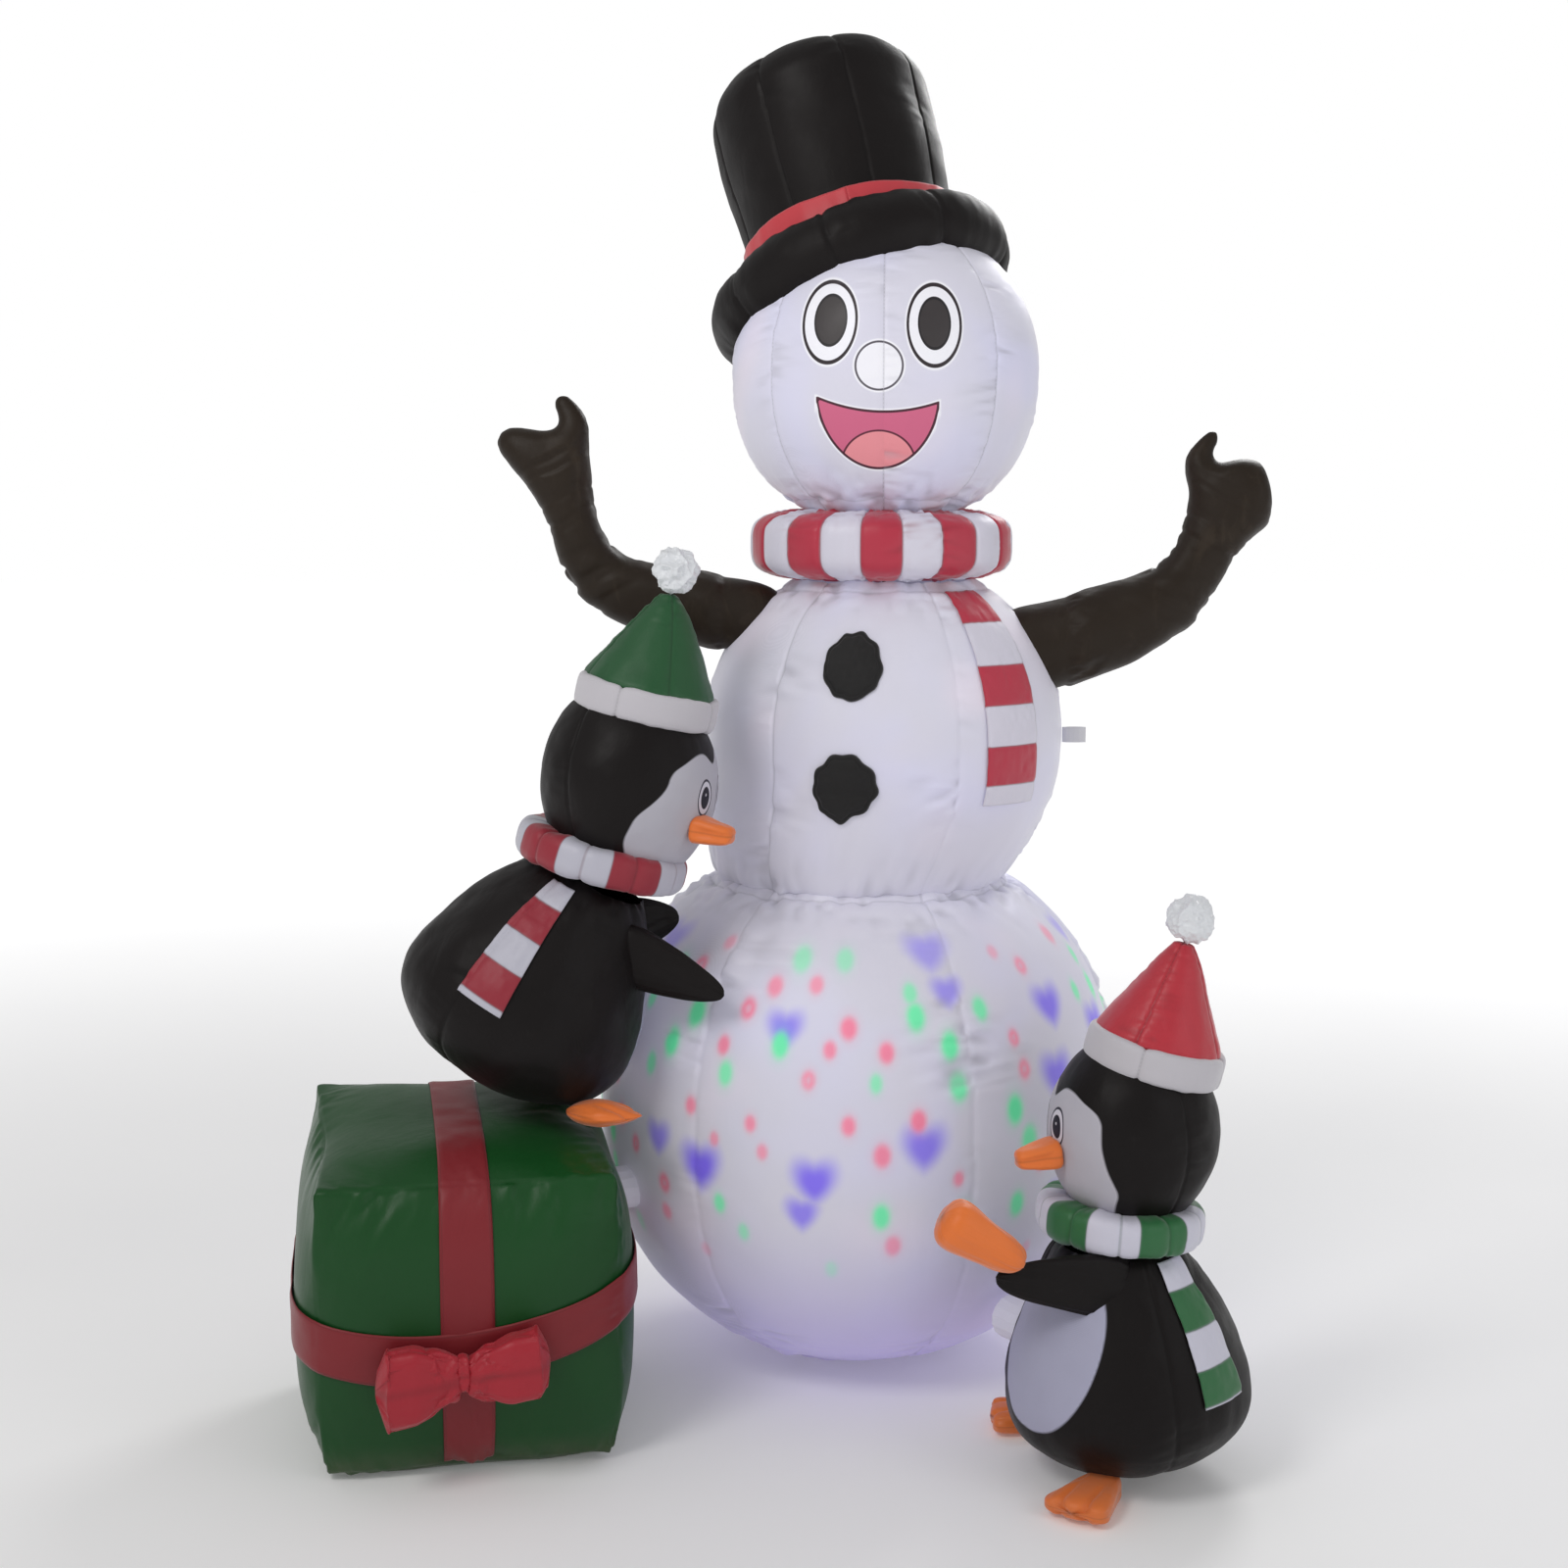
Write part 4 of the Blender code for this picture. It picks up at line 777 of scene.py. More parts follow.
def roll_ring(name, place, ring, tube, tall, material, seams, seed, columns=420, rows=80, extra=None,
              wrinkle=0.006, puffs=0.004, power=2.0):
    """A puffed roll of cloth round a ring, with seams across it and wrinkles on its inner side."""
    theta, phi = np.meshgrid(np.arange(columns) * 2 * math.pi / columns,
                             np.arange(rows) * 2 * math.pi / rows)
    inner = 0.5 - 0.5 * np.cos(phi)
    part = (theta / (2 * math.pi) * seams + 0.23) % 1.0
    near = np.minimum(part, 1 - part) * 2 * math.pi * ring / seams
    size = ring / 0.018
    ridge = noise(np.sin(theta) * size, np.cos(theta) * size, seed + phi * 0.6) - 0.5
    broad = noise(np.sin(theta) * size / 4, np.cos(theta) * size / 4, seed + 5 + np.cos(phi)) - 0.5
    local = wrinkle * (0.25 + inner) * ridge + 1.2 * puffs * broad
    local = local - puffs * np.exp(-near / 0.018) - 0.0016 * np.exp(-(near / 0.003) ** 2)
    sharp = noise(np.sin(theta) * size * 1.9, np.cos(theta) * size * 1.9, seed + phi) - 0.5
    local = local + 0.5 * wrinkle * sharp * np.exp(-near / 0.02)
    across = tube + local
    c, d = (np.sign(part) * np.abs(part) ** (2.0 / power) for part in (np.cos(phi), np.sin(phi)))
    reach = ring + across * c
    points = np.stack([reach * np.sin(theta), -reach * np.cos(theta), tall * across * d], axis=-1)
    seam = np.exp(-(near / 0.0022) ** 2) + np.exp(-(np.abs(phi - math.pi) * tube / 0.003) ** 2)
    fields = {"seam": np.minimum(seam, 1.0)}
    if extra:
        fields["stripe"] = extra(theta, reach)[0]
    points = np.concatenate([points, points[:1]], axis=0)
    fields = {key: np.concatenate([value, value[:1]], axis=0) for key, value in fields.items()}
    piece = grid(name, moved(points, place), material, True, False, False, fields)
    weld(piece)
    return piece


def weld(piece, distance=0.00001):
    bm = bmesh.new()
    bm.from_mesh(piece.data)
    bmesh.ops.remove_doubles(bm, verts=bm.verts, dist=distance)
    bm.to_mesh(piece.data)
    bm.free()
    piece.data.shade_smooth()
    return piece


# ---- cloth simulation, mesh helpers and the stick arms ----
def applied(piece):
    bpy.context.view_layer.update()
    graph = bpy.context.evaluated_depsgraph_get()
    mesh = bpy.data.meshes.new_from_object(piece.evaluated_get(graph))
    piece.modifiers.clear()
    piece.data = mesh
    mesh.shade_smooth()
    return piece


def coordinates(piece):
    flat = np.empty(len(piece.data.vertices) * 3)
    piece.data.vertices.foreach_get("co", flat)
    return flat.reshape(-1, 3)


def set_coordinates(piece, points):
    piece.data.vertices.foreach_set("co", points.ravel())
    piece.data.update()


def normals(piece):
    flat = np.empty(len(piece.data.vertices) * 3, np.float32)
    piece.data.vertex_normals.foreach_get("vector", flat)
    return flat.reshape(-1, 3).astype(float)


def crumple(piece, growth=0.10, pressure=3.0, cap=0.012, pins=None, frames=18):
    """Lets the cloth puff up and wrinkle by simulation, and applies the result."""
    start = coordinates(piece)
    group = piece.vertex_groups.new(name="held")
    if pins is not None:
        group.add([int(i) for i in np.nonzero(pins(start))[0]], 1.0, "REPLACE")
    cloth = piece.modifiers.new("Puff", "CLOTH")
    settings = cloth.settings
    settings.quality = 5
    settings.mass = 0.15
    settings.tension_stiffness = 20
    settings.compression_stiffness = 15
    settings.shear_stiffness = 8
    settings.bending_stiffness = 0.15
    settings.use_pressure = True
    settings.uniform_pressure_force = pressure
    settings.shrink_min = -growth
    settings.effector_weights.gravity = 0.0
    if pins is not None:
        settings.vertex_group_mass = "held"
    cloth.collision_settings.use_collision = False
    cloth.point_cache.frame_start = 1
    cloth.point_cache.frame_end = frames
    for number in range(1, frames + 1):
        bpy.context.scene.frame_set(number)
    applied(piece)
    bpy.context.scene.frame_set(1)
    end = coordinates(piece)
    shift = end - start
    size = np.linalg.norm(shift, axis=1, keepdims=True)
    set_coordinates(piece, start + shift * np.minimum(1.0, cap / np.maximum(size, 1e-9)))
    return piece


def subdivided(piece, levels=1):
    finer = piece.modifiers.new("Finer", "SUBSURF")
    finer.levels = levels
    finer.render_levels = levels
    return applied(piece)


# Each stick arm: (x, y, z, radius) from inside the shoulder to the finger, then the thumb. They follow the
# CAD's arms, but start deeper inside the torso, and the left finger ends 25 mm further out.
ARMS = {
    "arm_left": ((-0.130, -0.026, 1.372, 0.076), (-0.420, -0.035, 1.425, 0.063),
                 (-0.492, -0.040, 1.472, 0.058), (-0.518, -0.040, 1.570, 0.045),
                 (-0.535, -0.040, 1.640, 0.053), (-0.598, -0.040, 1.684, 0.050),
                 (-0.656, -0.040, 1.706, 0.026), (-0.510, -0.040, 1.722, 0.030),
                 (-0.545, -0.040, 1.775, 0.014)),
    "arm_right": ((0.225, -0.028, 1.300, 0.100), (0.500, -0.035, 1.378, 0.073),
                  (0.590, -0.040, 1.432, 0.062), (0.622, -0.040, 1.510, 0.047),
                  (0.652, -0.040, 1.585, 0.055), (0.705, -0.040, 1.602, 0.073),
                  (0.735, -0.040, 1.605, 0.061), (0.600, -0.040, 1.662, 0.029),
                  (0.640, -0.040, 1.712, 0.012)),
}
ARM_LINKS = ((0, 1), (1, 2), (2, 3), (3, 4), (4, 5), (5, 6), (4, 7), (7, 8))


def skinned(name, chain, links, material, voxel=0.0075, smoothing=5):
    """An even, smooth skin round a branching chain of (x, y, z, radius)."""
    mesh = bpy.data.meshes.new(name)
    mesh.from_pydata([stop[:3] for stop in chain], links, [])
    piece = link(name, mesh, material)
    piece.modifiers.new("Skin", "SKIN")
    for i, stop in enumerate(chain):
        mesh.skin_vertices[0].data[i].radius = (stop[3], stop[3])
        mesh.skin_vertices[0].data[i].use_root = i == 0
    rounded = piece.modifiers.new("Round", "SUBSURF")
    rounded.levels = 3
    even = piece.modifiers.new("Even", "REMESH")
    even.mode = "VOXEL"
    even.voxel_size = voxel
    soften = piece.modifiers.new("Soften", "SMOOTH")
    soften.iterations = smoothing
    soften.factor = 0.5
    return applied(piece)


def make_arms():
    def paint(shade, base):
        streak = shade.noise(24.0, 4.0, 0.8, 0.6, (1.0, 1.0, 0.4))
        return shade.mix(shade.between(streak, 0.5, 0.8, 0.0, 0.35), base, (0.070, 0.052, 0.036))
    brown = nylon("stick_nylon", (0.023, 0.0155, 0.010), 0.45, 0.02, 0.25, 0.0016, 0.0, paint, 0.3, 0.0,
                  0.015,
                  shine=0.18)
    for node, elbow, hand in (("arm_left", (-0.51, -0.04, 1.48), (-0.555, -0.04, 1.67)),
                              ("arm_right", (0.60, -0.04, 1.45), (0.67, -0.04, 1.61))):
        arm = skinned(node + "_cloth", ARMS[node], ARM_LINKS, brown.material)
        inner = 0.34 if node == "arm_right" else 0.30
        crumple(arm, 0.10, 2.2, 0.016, lambda p, edge=inner: np.abs(p[:, 0] - LEAN) < edge)
        subdivided(arm)
        points = coordinates(arm)
        fold = np.exp(-(np.linalg.norm(points - np.array(elbow), axis=1) / 0.085) ** 2)
        fold = fold + 0.8 * np.exp(-(np.linalg.norm(points - np.array(hand), axis=1) / 0.060) ** 2)
        x, y, z = points.T
        lean = z + 0.5 * x * np.sign(x) + 0.012 * noise(x / 0.05, y / 0.03, z / 0.05)
        ridge = 1 - np.abs(2 * noise(lean / 0.030, y / 0.075, 7.0) - 1)
        out = -0.0095 * fold * smooth_step(0.50, 1.0, ridge)
        out = out + 0.0050 * (noise(x / 0.055, y / 0.055, z / 0.055) - 0.5)
        set_coordinates(arm, points + normals(arm) * out[:, None])
        add_field(arm.data, "seam", np.zeros(len(points)))
        place_piece(arm, [node])


# ---- buttons ----
def make_buttons():
    felt = nylon("button_felt", (0.0075, 0.0068, 0.0070), 0.75, 0.25, 0.25, 0.0010, 0.0, None, 0.0,
                 0.0).material
    for name, azimuth, z, seed in (("button_upper", -12.5, 1.313, 2.0), ("button_lower", -14.0, 1.106, 9.0)):
        turn, reach = np.meshgrid(np.arange(150) * 2 * math.pi / 150, np.linspace(0.02, 1.0, 34))
        ragged = 1 + 0.075 * (noise(np.sin(turn) * 3.2 + seed, np.cos(turn) * 3.2, seed) - 0.5) \
            + 0.050 * np.sin(9 * turn + seed) * noise(np.sin(turn) * 2 + 5, np.cos(turn) * 2, seed)
        if name == "button_lower":
            ragged = ragged + 0.10 * np.exp(-((wrapped(turn - math.pi * 1.5)) / 0.30) ** 2)
        wide = 0.0575 * reach * ragged
        theta = math.radians(azimuth) + wide * np.cos(turn) / TORSO_RADIUS
        height = z + wide * np.sin(turn)
        dome = np.sqrt(np.clip(1 - reach ** 6, 0, 1))
        puffed = 0.0020 + 0.0095 * dome + 0.0022 * (noise(np.cos(turn) * reach * 6,
                                                          np.sin(turn) * reach * 6, seed) - 0.5)
        stitch = np.exp(-((reach - 0.86) / 0.03) ** 2)
        points = TORSO.at(theta, height, puffed - 0.0022 * stitch)
        button = grid(name + "_cloth", points[::-1], felt, True, False, True, {"seam": 0.0})
        place_piece(back_side(button, 0.0010), [name])


# ---- gift box ----
def gift_points(direction, lift=0.0):
    """Points on the puffed box along directions of shape (..., 3), in world space."""
    size = np.sum(np.abs(direction) ** GIFT_POWER, axis=-1, keepdims=True) ** (1.0 / GIFT_POWER)
    flat = direction / np.max(np.abs(direction), axis=-1, keepdims=True)
    out, seam = gift_relief(flat)
    ear = (GIFT_EAR + 0.10 * flat[..., 2:]) * np.prod(np.abs(flat), axis=-1, keepdims=True) ** 1.6
    form = direction / size * (1 - ear) + flat * ear
    form[..., :2] = form[..., :2] * (1.01 - 0.085 * np.clip(form[..., 2:], -1, 1) ** 2)
    points = form * (GIFT_HALF + (out + lift)[..., None])
    rise = 1.0 + GIFT_RISE * points[..., 1] / GIFT_HALF
    points[..., 2] = np.where(points[..., 2] > 0, points[..., 2] * rise, points[..., 2])
    points[..., 2] = np.maximum(points[..., 2], 0.0006 - GIFT_CENTRE[2])
    place = Matrix.Translation(GIFT_CENTRE) @ Matrix.Rotation(GIFT_YAW, 4, "Z")
    return moved(points, place), seam


def gift_relief(flat):
    """Seams on the box's edges, the pull of their stitches, and soft waves."""
    total = np.zeros(flat.shape[:-1])
    seam = total.copy()
    size = np.abs(flat)
    for a, b, c in ((0, 1, 2), (1, 2, 0), (2, 0, 1)):
        onto = size[..., c]
        for edge_axis, run_axis in ((a, b), (b, a)):
            gap = (1 - size[..., edge_axis]) * GIFT_HALF
            on_face = onto > 0.999
            run = flat[..., run_axis] * GIFT_HALF
            tag = np.sign(flat[..., edge_axis]) * 3.1 + np.sign(flat[...,
                                                                     c]) * 7.7 + 13.3 * c + 5.1 * edge_axis
            patchy = np.clip((noise(run / 0.10, tag, 2.0) - 0.25) * 1.8, 0.1, 1.0)
            ridge = noise(run / 0.021 + 0.4 * gap / 0.021, tag + gap / 0.09, 6.0) - 0.5
            fine = noise(run / 0.009, tag + gap / 0.05, 8.0) - 0.5
            size_here = 0.6 if run_axis == 2 else 1.0
            fade = np.exp(-(gap / (0.035 + 0.055 * patchy)) ** 1.3)
            pull = (0.0120 * ridge + 0.0040 * fine) * patchy * fade
            pull = pull * size_here * smooth_step(0.0, 0.014, gap)
            total = total + np.where(on_face, pull, 0.0)
            upright = run_axis == 2
            crest = 0.0004 if upright else 0.0008
            total = total - np.where(on_face, crest * np.exp(-(gap / 0.004) ** 2), 0.0)
            shown = 0.25 if upright else 0.40
            seam = np.maximum(seam, np.where(on_face, shown * np.exp(-(gap / 0.0020) ** 2), 0.0))
    x, y, z = (flat[..., k] for k in range(3))
    total = total + 0.010 * (noise(x * 1.7 + 3, y * 1.7, z * 1.7) - 0.5)
    return total, seam


def make_gift():
    side = 76
    lines = np.sin(np.linspace(-1, 1, side) * math.pi / 4) / math.sin(math.pi / 4)
    u, v = np.meshgrid(lines, lines)
    one = np.ones_like(u)
    verts, faces, seams = [], [], []
    layouts = ((one, u, v), (-one, -u, v), (-u, one, v), (u, -one, v), (u, v, one), (u, -v, -one))
    index = np.arange(side * side).reshape(side, side)
    quads = np.stack([index[:-1, :-1], index[:-1, 1:], index[1:, 1:], index[1:, :-1]],
                     axis=-1).reshape(-1, 4)
    for k, layout in enumerate(layouts):
        points, seam = gift_points(np.stack(layout, axis=-1))
        verts.append(points.reshape(-1, 3))
        seams.append(seam.ravel())
        faces.append(quads + k * side * side)
    mesh = bpy.data.meshes.new("gift_box_cloth")
    mesh.from_pydata(np.concatenate(verts).tolist(), [], np.concatenate(faces).tolist())
    add_field(mesh, "seam", np.concatenate(seams))
    green = nylon("gift_nylon", (0.0045, 0.064, 0.0105), 0.38, 0.04, 0.22, 0.0016, 0.0, None, 0.35, 0.4,
                  0.0, 0.0,
                  shine=0.30)
    box = weld(link("gift_box_cloth", mesh, green.material), 0.0012)
    place_piece(box, ["gift_box"])


def box_outline(turn):
    """The two coordinates of a box outline at a polar angle."""
    c, s = np.cos(turn), np.sin(turn)
    size = (np.abs(c) ** GIFT_POWER + np.abs(s) ** GIFT_POWER) ** (1.0 / GIFT_POWER)
    return c / size, s / size


def even_turns(start, end, count):
    """Angles whose outline points are evenly spaced."""
    fine = np.linspace(start, end, 4000)
    along = np.concatenate([[0], np.cumsum(np.hypot(*np.diff(np.stack(box_outline(fine)), axis=1)))])
    return np.interp(np.linspace(0, along[-1], count), along, fine)


def make_ribbons():
    red = nylon("ribbon_nylon", (0.225, 0.012, 0.018), 0.42, 0.10, 0.14, 0.0012, 0.0, None, 0.35,
                0.3).material
    half = 0.5 * RIBBON_WIDTH / GIFT_HALF
    across = np.linspace(-1, 1, 22)
    specs = (("ribbon_upright", -43.7, 267.4, 0.0028), ("ribbon_level", 0.3, 359.4, 0.0058))
    for name, start, span, lift in specs:
        turns = even_turns(math.radians(start), math.radians(start + span), 420)
        side, turn = np.meshgrid(across, turns)
        a, b = box_outline(turn)
        if name == "ribbon_upright":
            direction = np.stack([side * half - 0.02, -a, b], axis=-1)
        else:
            sag = -0.165 + 0.215 * b * b + 0.095 * b + 0.02 * (a + 1.0)
            direction = np.stack([b, a, side * half + sag], axis=-1)
        run = np.cumsum(np.ones_like(turn), axis=0) * 0.005
        wave = 0.0016 * (noise(run / 0.045, side * 1.3, 4.0) - 0.5)
        edge = smooth_step(0.84, 1.0, np.abs(side))
        points = gift_points(direction, lift + wave - 0.0016 * edge)[0]
        seam = np.exp(-((np.abs(side) - 0.90) / 0.035) ** 2) * 0.8
        if name == "ribbon_level":
            points, seam = points[::-1], seam[::-1]
        flat_piece(name + "_cloth", name, points, red,
                   {"seam": seam}, 0.0012)


def loft(name, place, material, reach, half_a, half_b, centre, power, columns=96, ridges=0.0, seed=0.0,
         ridge_count=9.0, seam_width=0.0020, shape=None):
    """A closed puffed form: rings of half sizes along local X, whose centres move up by centre."""
    turn = np.arange(columns) * 2 * math.pi / columns
    t = np.linspace(0, 1, len(reach))
    turn, along = np.meshgrid(turn, t)
    c, s = np.cos(turn), np.sin(turn)
    p = 2.0 / np.asarray(power)[:, None] if np.ndim(power) else 2.0 / power
    y = np.sign(c) * np.abs(c) ** p * np.asarray(half_a)[:, None]
    z = np.sign(s) * np.abs(s) ** p * np.asarray(half_b)[:, None]
    x = np.broadcast_to(np.asarray(reach)[:, None], y.shape)
    if ridges is not None:
        fold = noise(c * ridge_count / 3 + seed, s * ridge_count / 3, seed + along * 2.0) - 0.5
        fine = noise(c * ridge_count, s * ridge_count, seed + along * 4.0) - 0.5
        size = np.hypot(y, z)
        grow = 1 + (np.asarray(ridges)[:, None] * (fold + 0.6 * fine)) / np.maximum(size, 0.004)
        y, z = y * grow, z * grow
    z = z + np.asarray(centre)[:, None]
    points = np.stack([x, y, z], axis=-1)
    if shape is not None:
        points = shape(points, along, turn)
    seam = np.exp(-(np.abs(wrapped(turn)) * np.abs(np.asarray(half_a)[:, None]) / seam_width) ** 2)
    seam = np.maximum(seam, np.exp(-(np.abs(wrapped(turn - math.pi)) * np.abs(np.asarray(half_a)[:, None])
                                     / seam_width) ** 2))
    return grid(name, moved(points, place), material, True, True, True, {"seam": seam * 0.8}, True)


def make_bow():
    red = nylon("bow_nylon", (0.40, 0.014, 0.028), 0.42, 0.12, 0.16, 0.0022, 0.0, None, 0.3, 0.0).material
    lo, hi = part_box("bow_knot")
    knot = (Vector(lo) + Vector(hi)) / 2
    t = np.linspace(0, 1, 70)
    flare = 0.50 + 0.50 * smooth_step(0.0, 0.60, t)
    for name, side in (("bow_loop_left", -1), ("bow_loop_right", 1)):
        place = Matrix.Translation(knot) @ Matrix.Rotation(GIFT_YAW + (math.pi if side < 0 else 0), 4, "Z")
        cap = (1 - smooth_step(0.90, 1.0, t) ** 2 * 0.62) * np.sqrt(np.clip(1 - ((t - 0.5) / 0.502) ** 18,
                                                                            0.0, 1))
        tall, deep = (0.067 if side < 0 else 0.060) * flare * cap, 0.038 * flare * cap
        lean = -0.006 + (0.016 if side > 0 else -0.014) * t
        ridges = 0.020 * np.exp(-t / 0.24) + 0.0015
        loop = loft(name + "_cloth", place, red, 0.004 + 0.130 * t, deep, tall, lean, 3.6, 110, ridges,
                    5.0 + side, 4.0)
        crumple(loop, 0.07, 1.6, 0.006)
        place_piece(loop, [name])
    t = np.linspace(0, 1, 40)
    cap = np.sqrt(np.clip(1 - (2 * t - 1) ** 4, 0.0, 1))
    place = Matrix.Translation(knot) @ Matrix.Rotation(GIFT_YAW, 4, "Z")
    tie = loft("bow_knot_cloth", place, red, -0.0130 + 0.026 * t, 0.022 * cap, 0.030 * cap, 0.0 * t, 2.6, 80,
               0.007 + 0.0 * t, 2.0, 6.0)
    place_piece(tie, ["bow_knot"])


# ---- penguins ----
def aligned(place, direction, up=Vector((0.0, 1.0, 0.0))):
    z_axis = Vector(direction).normalized()
    x_axis = Vector(up).cross(z_axis).normalized()
    y_axis = z_axis.cross(x_axis)
    turn = Matrix((x_axis, y_axis, z_axis)).transposed().to_4x4()
    return Matrix.Translation(place) @ turn


class Penguin:
    """Places of one penguin, as in the CAD: foot point, neck, head, hat and the way it faces."""

    def __init__(self, name, foot, neck, head, head_radius, body_radius, facing, leans):
        self.name = name
        self.foot, self.neck, self.head = Vector(foot), Vector(neck), Vector(head)
        self.head_radius, self.body_radius = head_radius, body_radius
        self.facing = math.radians(facing)
        self.hat_lean, self.scarf_lean = (math.radians(lean) for lean in leans)
        self.length = (self.neck - self.foot).length

    def front(self, turn=0.0):
        angle = self.facing + math.radians(turn)
        return Vector((math.cos(angle), math.sin(angle), 0.0))

    def hat_frame(self):
        rise = Matrix.Translation((0, 0, 0.92 * self.head_radius))
        return Matrix.Translation(self.head) @ Matrix.Rotation(self.hat_lean, 4, "Y") @ rise

    def scarf_frame(self):
        rise = Matrix.Translation((0, 0, SCARF_TUBE + 0.003))
        return Matrix.Translation(self.neck) @ Matrix.Rotation(self.scarf_lean, 4, "Y") @ rise

    def body_frame(self):
        return aligned(self.foot, self.neck - self.foot)

    def body_line(self, t):
        widest, throat = 0.34, 0.096
        low = self.body_radius * np.sqrt(np.clip(1 - np.clip((widest - t) / widest, 0, 1) ** 2.3, 0, 1))
        s = np.clip((t - widest) / (1 - widest), 0, 1)
        return np.where(t < widest, low, throat + (self.body_radius - throat) * (1 - s ** 1.7))

    def local_turn(self, turn):
        """The azimuth in the body's own frame, as Chamber counts it, of a turn from the way it faces."""
        local = self.body_frame().to_3x3().inverted() @ self.front(turn)
        return math.atan2(local.x, -local.y)


SITTING = Penguin("p1", (-0.672, -0.320, 0.600), (-0.466, -0.330, 0.955), (-0.408, -0.330, 1.118),
                  0.154, 0.216, -30, (13, 16))
STANDING = Penguin("p2", (0.438, -0.600, 0.012), (0.410, -0.600, 0.395), (0.432, -0.600, 0.578),
                   0.140, 0.203, 197, (14, 4))
BELLY = (0.44, 0.44, 0.58)
FACE = (0.50, 0.49, 0.55)
# Each penguin's belly: turn from the way it faces, share of the way up, half width and half height (m).
BELLIES = {"p1": (48.0, 0.46, 0.110, 0.160), "p2": (15.0, 0.64, 0.116, 0.140)}


def bird_paint(pale):
    def paint(shade, base):
        value = shade.field("pale")
        base = shade.mix(shade.between(value, -0.0005, 0.0005, 1.0, 0.0), base, pale)
        rim = shade.between(shade.maths("ABSOLUTE", value), 0.0006, 0.0030, 0.55, 0.0)
        base = shade.mix(rim, base, tinted(pale, 1.15))
        eye = shade.field("eye")
        ring = shade.between(shade.maths("ABSOLUTE", eye), 0.0011, 0.0018, 1.0, 0.0)
        base = shade.mix(shade.between(eye, -0.0004, 0.0004, 1.0, 0.0), base, tinted(pale, 1.35))
        base = shade.mix(ring, base, (0.035, 0.032, 0.050))
        pupil = shade.between(eye, -0.0080, -0.0072, 1.0, 0.0)
        base = shade.mix(pupil, base, (0.012, 0.010, 0.020))
        glint = shade.between(shade.field("glint"), 0.0, 0.0006, 1.0, 0.0)
        return shade.mix(glint, base, (0.60, 0.60, 0.66))
    return paint


BIRD_BODY = nylon("penguin_body_nylon", BLACK, 0.44, 0.03, 0.30, 0.0020, 0.0, bird_paint(BELLY), 0.3, 0.3,
                  0.012,
                  shine=0.16)
BIRD_HEAD = nylon("penguin_head_nylon", BLACK, 0.46, 0.03, 0.30, 0.0016, 0.0, bird_paint(FACE), 0.3, 0.0,
                  0.012,
                  shine=0.16)
ORANGE = nylon("orange_nylon", (0.80, 0.185, 0.030), 0.42, 0.3, 0.12, 0.0018, 0.04, None, 0.35, 0.25)


def make_penguin_body(bird):
    t = 0.5 * (1 - np.cos(np.linspace(0.0, math.pi, 260)))
    radius = bird.body_line(t)
    keep = radius > 0.012
    profile = np.stack([radius[keep], t[keep] * bird.length], axis=-1)
    seams = [bird.local_turn(turn) for turn in (88, 178, -92)]
    body = Chamber(profile, 150, seams, 51.0 if bird is SITTING else 57.0, low=0.006, high=0.008,
                   pucker=0.0060, reach=0.040, pitch=0.014, waves=0.008, wave_size=0.075, fold=0.015)
    points, theta, s, seam, r = body.build(330)
    turn, share, wide, tall = BELLIES[bird.name]
    off = wrapped(theta - bird.local_turn(turn)) * r
    middle = float(np.interp(share * bird.length, body.z, body.s))
    q = np.hypot(off / wide, (s - middle) / tall)
    pale = (q - 1) * wide
    seam = np.maximum(seam * np.where(pale < 0.004, 0.0, 1.0), np.exp(-(pale / 0.0018) ** 2) * 0.8)
    points = moved(points, bird.body_frame())
    if bird is STANDING:
        points[..., 2] = np.maximum(points[..., 2], 0.001)
    cloth = grid(bird.name + "_body_cloth", points, BIRD_BODY.material, True, True, False,
                 {"seam": seam, "pale": pale, "eye": 1.0, "glint": 1.0, "crease": body.crease})
    trimmed(cloth, bird.scarf_frame(), 0.0)
    place_piece(cloth, [bird.name + "_body"])
    return body


# The printed face of each penguin: middle, eye's turn from it, eye's level, and the mask's half width in
# degrees at levels given as shares of the head's radius; the last level is the brow.
FACES = {
    "p1": (16.0, 13.0, -0.13, (-0.95, -0.55, -0.26, -0.14, 0.02, 0.18, 0.26, 0.32),
           (74, 76, 67, 57, 47, 44, 38, 26)),
    "p2": (-11.0, 13.0, 0.12, (-0.95, -0.74, -0.54, -0.25, 0.02, 0.32, 0.44, 0.53),
           (56, 60, 65, 58, 54, 53, 46, 30)),
}


